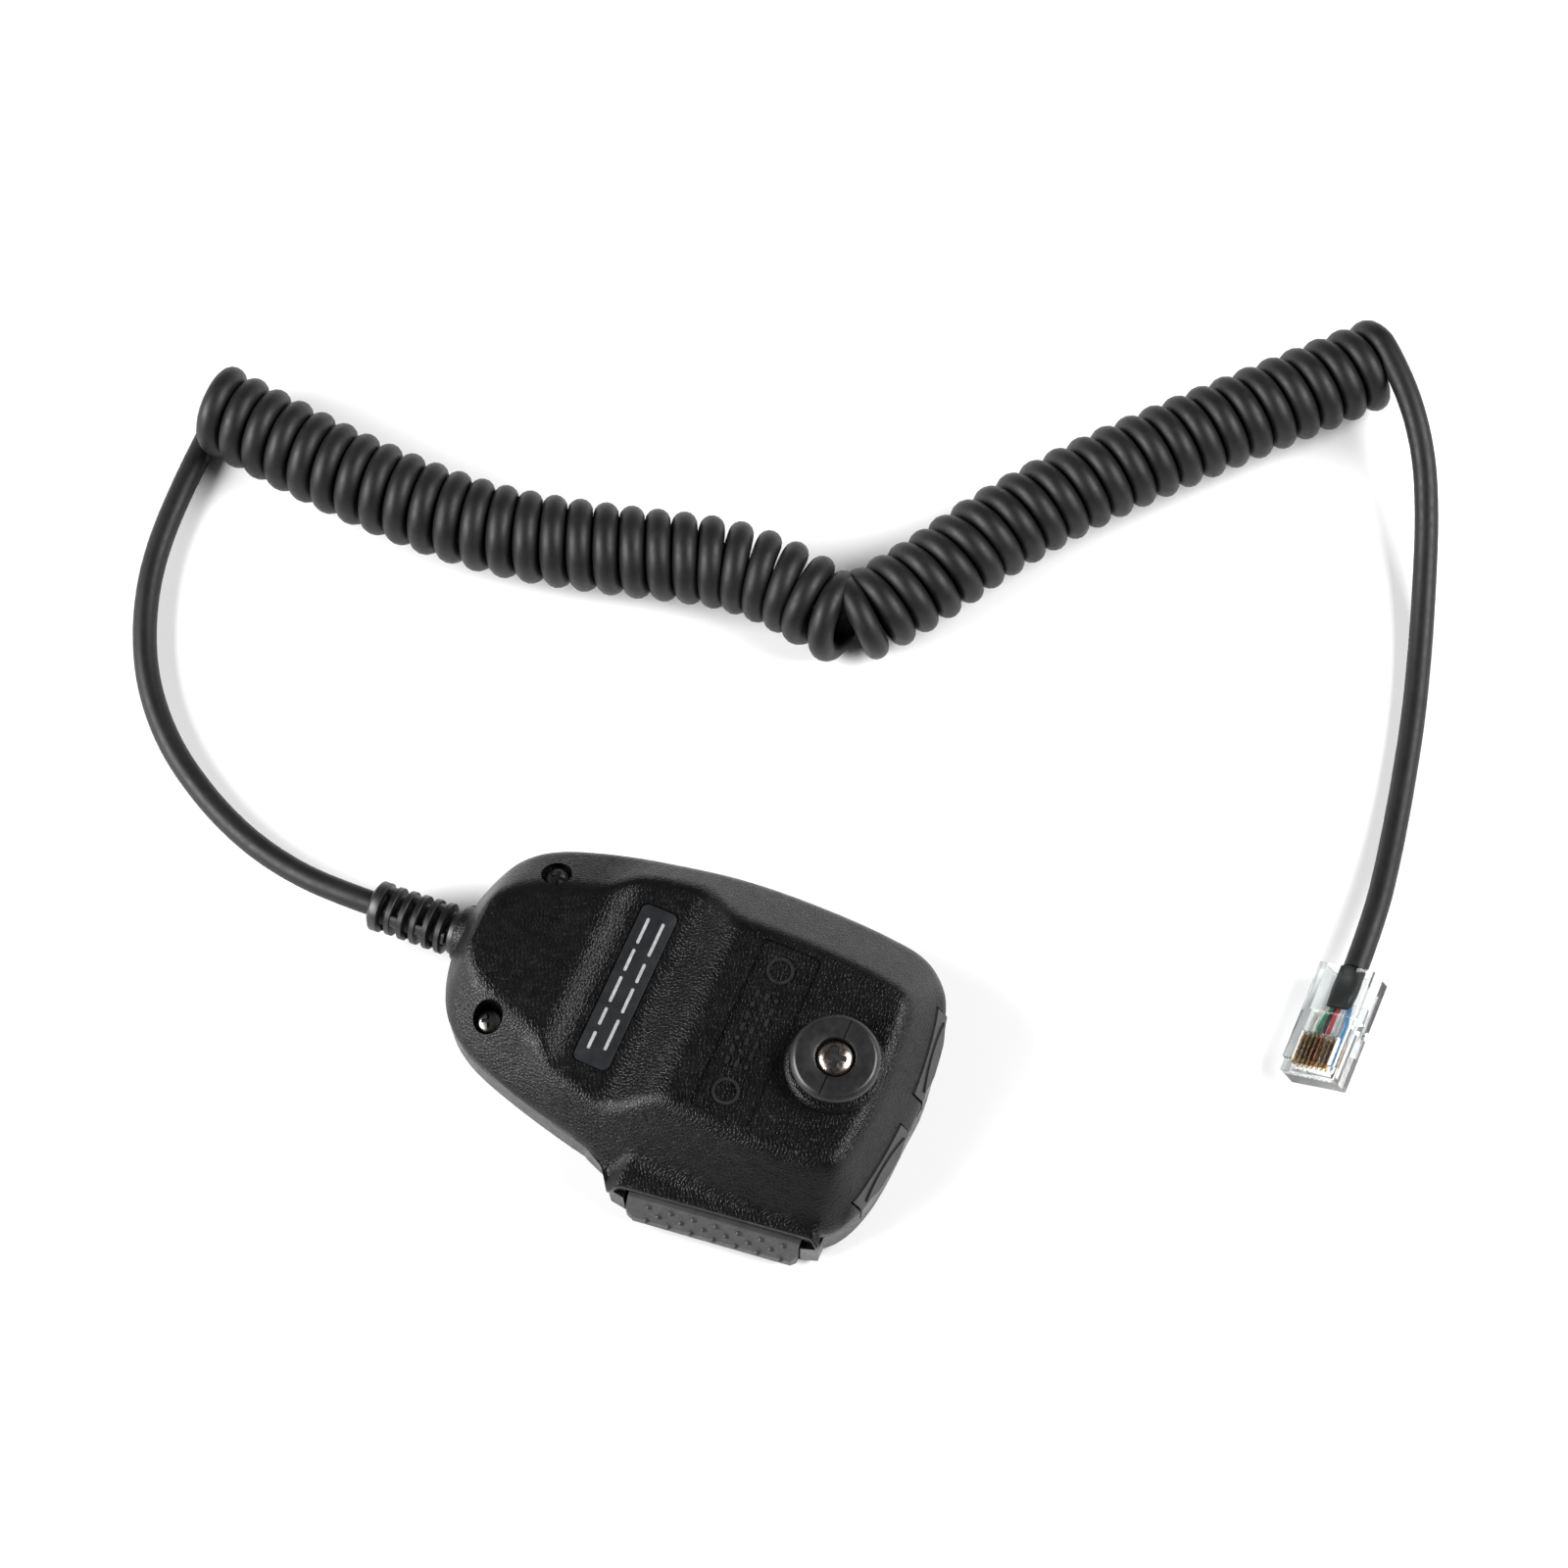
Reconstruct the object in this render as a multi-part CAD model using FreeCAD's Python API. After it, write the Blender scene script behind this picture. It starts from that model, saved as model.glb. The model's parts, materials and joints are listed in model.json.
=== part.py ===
import FreeCAD, Part
import math
import os
from FreeCAD import Vector as V

# Hand microphone with a number keypad, lying on its keypad face.
# Millimetres. The body is drawn about its own centre line (x = 0), with +Y towards the head,
# +Z out of the back and +X towards the talk bar, then moved by SHIFT so that the origin
# sits on the floor under the middle of the body.

SHIFT = V(-3.0, 30.08, 0)

# Case
PART_Z = 11.5            # level where the two shells meet, and the widest level
WALL = 2.2
EDGE_Z = 13.2            # top of the upright side wall of the back shell
HEAD_Z = 26.0            # flat top of the head
VALLEY_Z = 19.8          # finger valley with the label
NECK_Z = 21.2            # raised neck at the cable end
# Half of the outline at the parting level, from the head round to the cable end.
HALF_OUTLINE = [(0, 17.0), (12, 16.2), (20, 14.7), (25.2, 12.2), (28.6, 8.2), (30.2, 3.0),
                (31.0, -12), (30.2, -30), (27.4, -46), (24.3, -58), (20.6, -67), (16.0, -72.0),
                (9.0, -75.1), (0, -76.0)]
# The talk bar's housing stands out from the +X side, seen in plan.
HOOD_BACK = [(20, 10.0), (30.0, 10.2), (29.3, 8.6), (34.1, -28.0), (35.6, -30.0), (31.2, -33.2),
             (29.4, -37.6), (20, -38.5)]
HOOD_FRONT = [(20, 10.0), (29.9, 10.2), (30.9, 7.2), (35.2, -26.9), (34.8, -29.9), (31.0, -33.2),
              (29.3, -37.6), (20, -38.5)]
LIP_Z = 15.0             # top edge of the lip over the talk bar
LIP_UNDER_Z = 13.5
BAY_FLOOR_Z = 2.6

# Front face
FACE_Z = 0.7             # the key plate sits this far above the rim the body lies on
PLATE_TOP_Z = 2.5
FRONT_ROUND = 2.6

# Keys
KEY_NAMES = [["1", "2", "3", "a"], ["4", "5", "6", "b"], ["7", "8", "9", "c"],
             ["star", "0", "hash", "d"], ["p1", "p2", "p3", "p4"]]
KEY_PITCH_X = 10.6
KEY_PITCH_Y = 9.5
KEY_TOP_Y = 3.5
KEY_W = 8.4
KEY_H = 6.0
KEY_GAP = 0.3
KEY_FACE_Z = 0.3

# Hanger knob
KNOB_Y = 0.5
KNOB_FLANGE_R = 8.3
KNOB_NECK_R = 6.4
KNOB_TOP_Z = 31.6
PAD_R = 9.4

# Label, raised panel and case screws
LABEL_Y = -41.9
LABEL_W = 33.4
LABEL_H = 7.6
PANEL_Y = -15.3
PANEL_W = 34.9
PANEL_H = 11.8
SCREW_X = 15.3
SCREW_Y = -63.2
SCREW_SEAT_Z = 14.6
SCREW_RECESS_R = 2.95

# Circuit board
BOARD_Z = 6.2
BOARD_T = 1.6
POSTS = [(20.2, 9.6), (-20.2, 9.6), (21.4, -42.4), (-21.4, -42.4)]

# Talk bar
BAR_TOP_Z = 13.0
BAR_BOTTOM_Z = 3.0
BAR_SLOPE_Z = 6.0        # the outer face leans in above this level
BAR_SLOPE = 2.4          # by this much at the top
BAR_PLAN = [(27.0, 6.7), (32.0, 6.7), (32.9, 5.8), (36.75, -24.6), (36.1, -26.1), (31.0, -26.1),
            (28.6, 1.6), (27.0, 1.6)]
PIVOT = (28.4, 4.2)
PIN_R = 0.8
PLUNGER_Y = -19.8

# Head-end keys
SIDE_KEY_X0 = 3.2
SIDE_KEY_X1 = 20.2
SIDE_KEY_Z0 = 8.2
SIDE_KEY_Z1 = 16.6
SIDE_KEY_PROUD = 0.25    # how far the keys stand out of the head end
SIDE_KEY_GAP = 0.3

# Microphone capsule
CAPSULE_Y = -52.0

# Strain relief, from inside the case to its tip
BOOT_START = V(-0.1, -71.8, 9.5)
BOOT_END = V(1.0, -94.9, 7.2)
BOOT_NECK_R = 4.6
BOOT_HOLE_R = 4.85

# Cord. Its routes are in the finished frame, so they aren't moved by SHIFT.
CABLE_R = 2.4
CURL_R = 9.0
LEAD_ROUTE = [(-2.0, -64.82, 7.2), (-1.7, -74.72, 5.9), (-2.9, -85.22, 4.0), (-5.5, -95.52, 2.8),
              (-10.0, -106.12, 2.4), (-16.8, -117.32, 2.4), (-26.4, -126.92, 2.4), (-37.8, -133.62, 2.4),
              (-50.6, -138.02, 2.4), (-65.6, -139.82, 2.4), (-80.4, -139.62, 2.4)]
CURL_ROUTE = [(-82.1, -142.02, 9.0), (-82.3, -112.72, 9.0), (-80.8, -84.72, 9.0), (-86.4, -52.72, 9.0),
              (-92.6, -34.72, 9.0), (-94.2, -19.72, 9.0), (-93.1, -4.12, 9.0), (-103.1, 7.48, 9.0),
              (-118.8, 13.88, 9.0), (-137.4, 26.58, 9.0), (-161.5, 47.68, 9.0), (-188.4, 73.68, 9.0)]
TAIL_ROUTE = [(-186.2, 72.18, 15.4), (-178.2, 80.68, 14.8), (-169.0, 87.48, 11.7), (-158.6, 92.48, 8.0),
              (-147.2, 96.68, 4.8), (-134.2, 100.88, 2.8), (-119.8, 104.78, 2.4), (-103.8, 108.08, 2.6),
              (-89.6, 110.48, 3.6), (-76.8, 112.08, 5.4), (-64.2, 112.28, 5.98)]

# Plug: an eight-way clear plug lying on one long edge and its latch.
PLUG_BACK = V(-64.2, 112.28, 5.98)
PLUG_ROLL = 33.0
PLUG_L = 22.8
PLUG_W = 11.7
PLUG_H = 6.6
CONTACT_PITCH = 1.02

Z = V(0, 0, 1)


def box(x0, x1, y0, y1, z0, z1):
    return Part.makeBox(x1 - x0, y1 - y0, z1 - z0, V(x0, y0, z0))


def cylinder(x, y, z0, z1, r):
    return Part.makeCylinder(r, z1 - z0, V(x, y, z0))


def between(a, b, r):
    return Part.makeCylinder(r, (b - a).Length, a, b - a)


def prism(points, z0, z1):
    wire = Part.makePolygon([V(x, y, z0) for x, y in points + points[:1]])
    return Part.Face(wire).extrude(V(0, 0, z1 - z0))


def rounded(x, y, w, h, r, z0, z1):
    """Upright plate with rounded corners, centred on x, y."""
    plate = box(x - w / 2, x + w / 2, y - h / 2, y + h / 2, z0, z1)
    upright = [e for e in plate.Edges if abs(e.tangentAt(e.FirstParameter).z) > 0.99]
    return plate.makeFillet(r, upright)


def outline_prism(inset, z0, z1):
    """The body's outline drawn in by inset and extruded."""
    middle = -29.5
    half_length = 46.5
    shrink = (half_length - inset) / half_length
    right = [V(x * (31.0 - inset) / 31.0, middle + (y - middle) * shrink, z0) for x, y in HALF_OUTLINE]
    left = [V(-p.x, p.y, z0) for p in reversed(right[1:-1])]
    curve = Part.BSplineCurve()
    curve.interpolate(right + left, True)
    return Part.Face(Part.Wire(curve.toShape())).extrude(V(0, 0, z1 - z0))


def smooth_min(a, b, r):
    h = max(r - abs(a - b), 0) / r
    return min(a, b) - h * h * r / 4


def smooth_step(a, b, t):
    s = min(max((t - a) / (b - a), 0), 1)
    return s * s * (3 - 2 * s)


def half_width(y):
    """Half the outline's width at y, a smooth curve through the long side's points."""
    side = HALF_OUTLINE[3:-1]
    y = min(max(y, side[-1][1]), side[0][1])
    i = next(n for n in range(len(side) - 1) if side[n + 1][1] <= y)
    (xa, ya), (xb, yb) = side[i], side[i + 1]
    before = side[max(i - 1, 0)]
    after = side[min(i + 2, len(side) - 1)]
    run = ya - yb
    slope_a = (xb - before[0]) / (before[1] - yb) * run
    slope_b = (after[0] - xa) / (ya - after[1]) * run
    t = (ya - y) / run
    swing = (t ** 3 - 2 * t * t + t) * slope_a + (t ** 3 - t * t) * slope_b
    return xa + (xb - xa) * t * t * (3 - 2 * t) + swing


def back_height(x, y):
    """Height of the back shell's outer surface."""
    top = HEAD_Z + (VALLEY_Z - HEAD_Z) * smooth_step(-25, -38, y)
    top += (NECK_Z - VALLEY_Z) * smooth_step(-46.5, -52.5, y)
    steep = 1.08 - 0.3 * smooth_step(-44, -56, y)
    side = EDGE_Z + steep * (half_width(y) - abs(x))
    head = EDGE_Z + 0.3 + 1.75 * (16.9 - 0.0055 * x * x - y)
    tail = EDGE_Z + 2.4 * (y + 76.0 - 0.011 * x * x)
    hood = LIP_Z + 0.10 * (33.0 - x) - max(24 - x, 0) - 1.1 * max(y - 8.5, 0) - 1.3 * max(-28.5 - y, 0)
    side = -smooth_min(-side, -hood, 1.6)
    z = smooth_min(smooth_min(smooth_min(top, side, 2.6), head, 4.0), tail, 3.0)
    return max(z, PART_Z - 4)


def above_back(drop):
    """Everything above the back surface, lowered by drop."""
    rows = []
    across = [-36.0 + 74.0 * j / 48 for j in range(49)]
    for i in range(57):
        y = -78.0 + 97.0 * i / 56
        rows.append([V(x, y, back_height(x, y) - drop) for x in across])
    sheet = Part.BSplineSurface()
    sheet.interpolate(rows)
    return sheet.toShape().extrude(V(0, 0, 40))


def boot_collar():
    """Short collar that the two shells form round the strain relief."""
    way = (BOOT_END - BOOT_START).normalize()
    return Part.makeCone(6.9, 5.4, 3.4, BOOT_START + way * 1.6, way)


def boot_hole():
    way = (BOOT_END - BOOT_START).normalize()
    return Part.makeCylinder(BOOT_HOLE_R, 9, BOOT_START - way * 3, way)


def talk_bay():
    """Room for the talk bar in both shells."""
    plan = [(26.4, 7.0), (40, 7.0), (40, -26.85), (28.9, -26.85), (26.4, -6)]
    return prism(plan, BAY_FLOOR_Z, LIP_UNDER_Z)


def side_key_curve(x, out):
    return 16.9 - 0.0055 * x * x + out


def side_key_block(x0, x1, out, depth, z0, z1):
    """Slice that follows the curve of the head end."""
    xs = [x0 + (x1 - x0) * i / 6 for i in range(7)]
    front = [(x, side_key_curve(x, out)) for x in xs]
    rear = [(x, side_key_curve(x, out) - depth) for x in reversed(xs)]
    return prism(front + rear, z0, z1)


def side_key_room():
    g = SIDE_KEY_GAP
    room = side_key_block(SIDE_KEY_X0 - g, SIDE_KEY_X1 + g, 4, 9.3, SIDE_KEY_Z0 - g, SIDE_KEY_Z1 + g)
    return room.fuse(room.mirror(V(0, 0, 0), V(1, 0, 0)))


def back_shell():
    outer = outline_prism(0, PART_Z, 32).fuse(prism(HOOD_BACK, PART_Z, 32)).cut(above_back(0))
    room = outline_prism(WALL, PART_Z - 1, 32).fuse(prism([(20, 7.5), (27.8, 7.5), (30.2, -26.6), (20, -30)],
                                                         PART_Z - 1, LIP_UNDER_Z))
    outer = outer.fuse(boot_collar().common(box(-9, 9, -80, -70, PART_Z, 20)))
    shell = outer.cut(room.cut(above_back(WALL)))
    shell = shell.fuse(cylinder(0, KNOB_Y, HEAD_Z - WALL - 0.5, HEAD_Z - 1, 6.6))
    for x in (SCREW_X, -SCREW_X):
        boss = cylinder(x, SCREW_Y, PART_Z, 30, 4.2).cut(above_back(0))
        shell = shell.fuse(boss)
    shell = shell.fuse(Part.makeCone(PAD_R, PAD_R - 0.9, 1.3, V(0, KNOB_Y, HEAD_Z - 0.2)))
    shell = shell.cut(cylinder(0, KNOB_Y, 15, 30, 1.7))
    panel = rounded(0, PANEL_Y, PANEL_W, PANEL_H, 1.0, HEAD_Z - 0.45, HEAD_Z + 1)
    panel = panel.cut(cylinder(0, KNOB_Y, 20, 30, PAD_R))
    shell = shell.cut(panel)
    shell = shell.cut(rounded(0, LABEL_Y, LABEL_W, LABEL_H, 1.5, VALLEY_Z - 0.55, VALLEY_Z + 4))
    for x in (SCREW_X, -SCREW_X):
        shell = shell.cut(cylinder(x, SCREW_Y, SCREW_SEAT_Z, 30, SCREW_RECESS_R))
        shell = shell.cut(cylinder(x, SCREW_Y, PART_Z - 1, 30, 1.3))
    return shell.cut(talk_bay()).cut(side_key_room()).cut(boot_hole()).removeSplitter()


def front_outer():
    body = outline_prism(0, 0, PART_Z).fuse(prism(HOOD_FRONT, 0, PART_Z)).removeSplitter()
    rim = [e for e in body.Edges if e.BoundBox.ZMax < 0.01]
    return body.makeFillet(FRONT_ROUND, rim)


def front_shell():
    shell = front_outer()
    shell = shell.fuse(boot_collar().common(box(-9, 9, -80, -70, 0, PART_Z)))
    shell = shell.cut(outline_prism(WALL, PLATE_TOP_Z, PART_Z + 1))
    shell = shell.fuse(prism([(25.2, 8.2), (29, 8.2), (34.6, -28.2), (30.2, -30.0), (27.4, -27.6), (24.4, -6)],
                             1.5, PART_Z).common(front_outer()))
    shell = shell.cut(outline_prism(6.2, -1, FACE_Z))
    for x, y in POSTS:
        shell = shell.fuse(cylinder(x, y, PLATE_TOP_Z - 0.5, BOARD_Z, 2.0))
        shell = shell.cut(cylinder(x, y, PLATE_TOP_Z, BOARD_Z, 0.75))
    for x in (SCREW_X, -SCREW_X):
        shell = shell.fuse(cylinder(x, SCREW_Y, PLATE_TOP_Z - 0.5, PART_Z, 3.4))
        shell = shell.cut(cylinder(x, SCREW_Y, 4, PART_Z, 1.15))
    for _, x, y in key_places():
        shell = shell.cut(rounded(x, y, KEY_W + 2 * KEY_GAP, KEY_H + 2 * KEY_GAP, 1.4, -1, PLATE_TOP_Z + 1))
    for i in range(-2, 3):
        shell = shell.cut(rounded(0, CAPSULE_Y + 2.1 * i, 8.4 - 1.2 * abs(i), 1.1, 0.5, -1, PLATE_TOP_Z + 1))
    shell = shell.cut(cylinder(PIVOT[0], PIVOT[1], 1.2, 4, PIN_R + 0.05))
    shell = shell.cut(box(22, 30, PLUNGER_Y - 1.9, PLUNGER_Y + 1.9, 7.9, PART_Z + 1))
    return shell.cut(talk_bay()).cut(side_key_room()).cut(boot_hole()).removeSplitter()


def key_places():
    """Name and centre of each keypad key; the first column is on the +X side."""
    places = []
    for row, names in enumerate(KEY_NAMES):
        for column, name in enumerate(names):
            places.append((name, (1.5 - column) * KEY_PITCH_X, KEY_TOP_Y - row * KEY_PITCH_Y))
    return places


def keypad_key(x, y):
    cap = rounded(x, y, KEY_W, KEY_H, 1.2, KEY_FACE_Z, 3.2)
    rim = [e for e in cap.Edges if e.BoundBox.ZMax < KEY_FACE_Z + 0.01]
    cap = cap.makeChamfer(0.35, rim)
    return cap.fuse(rounded(x, y, KEY_W + 1.2, KEY_H + 1.2, 1.2, PLATE_TOP_Z + 0.2, 3.5)).removeSplitter()


def side_key(sign):
    """Key that follows the rounded head end, with a lens-shaped ridge to find by touch."""
    key = side_key_block(SIDE_KEY_X0, SIDE_KEY_X1, SIDE_KEY_PROUD, 2.95, SIDE_KEY_Z0, SIDE_KEY_Z1)
    key = key.cut(above_back(-2 * SIDE_KEY_PROUD))
    middle = (SIDE_KEY_X0 + SIDE_KEY_X1) / 2
    level = 14.5
    lens = Part.Wire([Part.Arc(V(middle - 7, 0, level), V(middle, 0, level + 1.3), V(middle + 7, 0, level)).toShape(),
                      Part.Arc(V(middle + 7, 0, level), V(middle, 0, level - 1.3), V(middle - 7, 0, level)).toShape()])
    ridge = Part.Face(lens).extrude(V(0, 5, 0))
    ridge.translate(V(0, side_key_curve(middle, 0) - 3.0, 0))
    ridge = ridge.common(side_key_block(SIDE_KEY_X0, SIDE_KEY_X1, 0.7, 4.0, 5, 20)).cut(above_back(-1.2))
    key = key.fuse(ridge).removeSplitter()
    return key if sign > 0 else key.mirror(V(0, 0, 0), V(1, 0, 0))


def hanger_knob():
    """Mushroom that the wall clip holds, with a screw recess in its face."""
    profile = [(0, 27.1), (KNOB_NECK_R, 27.1), (KNOB_NECK_R, 29.0), (KNOB_FLANGE_R, 29.3),
               (KNOB_FLANGE_R, 30.8), (KNOB_FLANGE_R - 0.8, KNOB_TOP_Z), (0, KNOB_TOP_Z)]
    wire = Part.makePolygon([V(r, KNOB_Y, z) for r, z in profile + profile[:1]])
    knob = Part.Face(wire).revolve(V(0, KNOB_Y, 0), Z, 360)
    knob = knob.cut(cylinder(0, KNOB_Y, KNOB_TOP_Z - 2.2, 40, 3.7))
    knob = knob.cut(cylinder(0, KNOB_Y, 20, 40, 1.7))
    groove = box(-9, 9, KNOB_Y - 0.12, KNOB_Y + 0.12, KNOB_TOP_Z - 0.35, 40)
    return knob.cut(groove)


def hanger_nut():
    top = HEAD_Z - WALL - 0.5
    plate = box(-4.4, 4.4, KNOB_Y - 4.4, KNOB_Y + 4.4, top - 2.2, top)
    return plate.cut(cylinder(0, KNOB_Y, 15, 30, 1.55))


def screw(x, y, top, head_r, head_h, shank_r, length, radius_of_cross):
    head = cylinder(x, y, top - head_h, top, head_r)
    rim = [e for e in head.Edges if e.BoundBox.ZMin > top - 0.01]
    head = head.makeFillet(head_h * 0.45, rim)
    body = head.fuse(cylinder(x, y, top - head_h - length, top - head_h, shank_r))
    half = radius_of_cross * 0.22
    for w, h in ((radius_of_cross, half), (half, radius_of_cross)):
        body = body.cut(box(x - w, x + w, y - h, y + h, top - head_h * 0.6, top + 1))
    return body


def case_screws():
    return Part.makeCompound([screw(x, SCREW_Y, SCREW_SEAT_Z + 1.7, 2.3, 1.7, 1.05, 9.2, 1.5)
                              for x in (SCREW_X, -SCREW_X)])


def board_screws():
    return Part.makeCompound([screw(x, y, BOARD_Z + BOARD_T + 1.0, 1.4, 1.0, 0.7, 4.2, 0.9) for x, y in POSTS])


def bar_lean():
    """Wedge that leans the talk bar's outer face in towards its top."""
    (xa, ya), (xb, yb) = BAR_PLAN[2], BAR_PLAN[3]
    along = V(xb - xa, yb - ya, 0).normalize()
    out = V(-along.y, along.x, 0)
    base = V(xa, ya, 0) - along * 8
    section = [base + Z * BAR_SLOPE_Z, base - out * BAR_SLOPE + Z * BAR_TOP_Z,
               base - out * BAR_SLOPE + Z * 20, base + out * 9 + Z * 20, base + out * 9 + Z * BAR_SLOPE_Z]
    return Part.Face(Part.makePolygon(section + section[:1])).extrude(along * 50)


def lean(z):
    """How far the leaning face has moved in at level z."""
    return BAR_SLOPE * max(z - BAR_SLOPE_Z, 0) / (BAR_TOP_Z - BAR_SLOPE_Z)


def talk_bar():
    """Talk bar on an upright pin, with rows of grip studs on its outer face."""
    bar = prism(BAR_PLAN, BAR_BOTTOM_Z, BAR_TOP_Z).cut(bar_lean())
    outer = [e for e in bar.Edges
             if abs(e.tangentAt(e.FirstParameter).z) < 0.01 and e.CenterOfMass.x > 31.5 and e.Length > 20
             and e.CenterOfMass.z > BAR_TOP_Z - 0.1]
    bar = bar.makeFillet(0.9, outer)
    bar = bar.cut(cylinder(PIVOT[0], PIVOT[1], 0, 20, PIN_R + 0.2))
    nose = box(29.0, 31.5, PLUNGER_Y - 1.4, PLUNGER_Y + 1.4, 8.4, 11.4)
    bar = bar.fuse(nose)
    studs = []
    for row in range(3):
        for i in range(7 if row != 1 else 6):
            y = 3.9 - 4.3 * i - (2.15 if row == 1 else 0)
            z = 10.4 - 2.2 * row
            x = 32.9 + (5.8 - y) * 3.85 / 30.4 - lean(z)
            studs.append(Part.makeSphere(0.66, V(x - 0.15, y, z)))
    return bar.fuse(studs).removeSplitter()


def talk_pin():
    return cylinder(PIVOT[0], PIVOT[1], 1.4, LIP_UNDER_Z, PIN_R)


def talk_switch():
    body = box(19.6, 25.2, PLUNGER_Y - 3.2, PLUNGER_Y + 3.2, BOARD_Z + BOARD_T, 12.2)
    return body.cut(box(23.2, 26, PLUNGER_Y - 1.2, PLUNGER_Y + 1.2, 8.8, 11.0))


def talk_plunger():
    return box(24.6, 28.7, PLUNGER_Y - 0.9, PLUNGER_Y + 0.9, 9.1, 10.7)


def side_switches():
    parts = []
    for x in (-11.7, 11.7):
        body = box(x - 3, x + 3, 5.8, 9.6, BOARD_Z + BOARD_T, BOARD_Z + BOARD_T + 4.4)
        parts.append(body.fuse(Part.makeCylinder(0.9, 1.4, V(x, 9.5, 10.6), V(0, 1, 0))))
    return Part.makeCompound(parts)


def circuit_board():
    half = [(20.0, -47.0), (23.4, -44.8), (24.0, 5.0), (22.4, 10.0), (19.0, 11.6)]
    plan = half + [(-x, y) for x, y in reversed(half)]
    board = prism(plan, BOARD_Z, BOARD_Z + BOARD_T)
    for x, y in POSTS:
        board = board.cut(cylinder(x, y, 0, 20, 0.9))
    return board


def capsule_boot():
    ring = cylinder(0, CAPSULE_Y - 1.6, PLATE_TOP_Z, 9.4, 6.3)
    return ring.cut(cylinder(0, CAPSULE_Y - 1.6, 3.3, 12, 4.9)).cut(cylinder(0, CAPSULE_Y - 1.6, 0, 12, 3.4))


def strain_relief():
    """Moulded boot: neck through the case, five ribs and a larger tip ring."""
    axis = (BOOT_END - BOOT_START).normalize()
    length = (BOOT_END - BOOT_START).Length
    steps = [(0.0, 1.0, 5.1, 5.1), (1.0, 7.6, BOOT_NECK_R, BOOT_NECK_R)]
    for i in range(5):
        at = 7.6 + 2.62 * i
        steps.append((at, at + 1.5, 4.9 - 0.06 * i, 4.85 - 0.06 * i))
        steps.append((at + 1.5, at + 2.62, 3.5, 3.5))
    steps.append((20.7, length, 4.75, 3.7))
    solid = None
    for a, b, ra, rb in steps:
        start = BOOT_START + axis * a
        step = Part.makeCylinder(ra, b - a, start, axis) if ra == rb else Part.makeCone(ra, rb, b - a, start, axis)
        solid = step if solid is None else solid.fuse(step)
    return solid.removeSplitter()


def inner_cord():
    return between(BOOT_START, V(0, -66.0, 9.5), CABLE_R)


def cord_clamp():
    clamp = box(-4.6, 4.6, -70.2, -67.4, 6.2, 12.6)
    return clamp.cut(between(BOOT_START, V(0, -66.0, 9.5), CABLE_R + 0.08))


def inner_wires():
    wires = []
    for i in range(6):
        x = -1.5 + 0.6 * i
        bend = V(x * 1.4, -58.0, 11.2)
        wire = between(V(x * 0.8, -66.0, 9.5), bend, 0.25).fuse(between(bend, V(x * 2.2, -47.1, 10.2), 0.25))
        wires.append(wire.fuse(Part.makeSphere(0.25, bend)).removeSplitter())
    return Part.makeCompound(wires)


def board_connector():
    return box(-5.2, 5.2, -47.0, -42.6, BOARD_Z + BOARD_T, 11.0)


def route_tube(points, r, name):
    """Tube along straight runs joined by tangent arcs; prints the arc radii."""
    corners = [V(*p) for p in points]
    edges = []
    radii = []
    at = corners[0]
    for before, corner, after in zip(corners, corners[1:], corners[2:]):
        u = (before - corner).normalize()
        w = (after - corner).normalize()
        turn = math.pi - u.getAngle(w)
        run = min((before - corner).Length, (after - corner).Length)
        back = 0.45 * run
        radius = back / math.tan(turn / 2)
        start = corner + u * back
        end = corner + w * back
        middle = corner + (u + w).normalize() * (radius / math.cos(turn / 2) - radius)
        edges.append(Part.LineSegment(at, start).toShape())
        edges.append(Part.Arc(start, middle, end).toShape())
        radii.append(round(radius, 1))
        at = end
    edges.append(Part.LineSegment(at, corners[-1]).toShape())
    path = Part.Wire(edges)
    ring = Part.Wire(Part.makeCircle(r, corners[0], corners[1] - corners[0]))
    tube = path.makePipeShell([ring], True, False)
    ratio = tube.Volume / (math.pi * r * r * path.Length)
    print(name, "radii", radii, "length", round(path.Length, 1), "volume ratio", round(ratio, 4))
    return tube


def plug_place(shape):
    shape.rotate(V(0, 0, 0), V(1, 0, 0), PLUG_ROLL)
    shape.translate(PLUG_BACK)
    return shape


def plug_housing():
    """Clear housing with a jacket bay, a wire channel and eight contact slots."""
    w = PLUG_W / 2
    h = PLUG_H / 2
    body = box(0, PLUG_L, -w, w, -h, h)
    body = body.cut(box(PLUG_L - 2.4, PLUG_L + 1, -w - 1, w + 1, h - 0.9, h + 1))
    body = body.cut(box(-1, 9.6, -4.7, 4.7, -1.75, 1.75))
    body = body.cut(box(9.5, PLUG_L - 1.6, -4.4, 4.4, 0.1, 1.2))
    for i in range(8):
        y = (i - 3.5) * CONTACT_PITCH
        body = body.cut(box(14.4, PLUG_L - 1.2, y - 0.3, y + 0.3, -0.2, h + 1))
    return plug_place(body)


def plug_contacts():
    blades = []
    for i in range(8):
        y = (i - 3.5) * CONTACT_PITCH
        blades.append(box(14.8, PLUG_L - 1.6, y - 0.18, y + 0.18, 1.2, PLUG_H / 2 - 0.35))
    return plug_place(Part.makeCompound(blades))


def plug_wires():
    wires = []
    for i in range(8):
        y = (i - 3.5) * CONTACT_PITCH
        wires.append(between(V(8.9, y, 0.65), V(20.4, y, 0.65), 0.42))
    return plug_place(Part.makeCompound(wires))


def plug_jacket_end():
    jacket = box(0, 8.9, -4.0, 4.0, -1.5, 1.5)
    return plug_place(jacket.makeFillet(1.2, [e for e in jacket.Edges if abs(e.Length - 8.9) < 0.01]))


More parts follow.
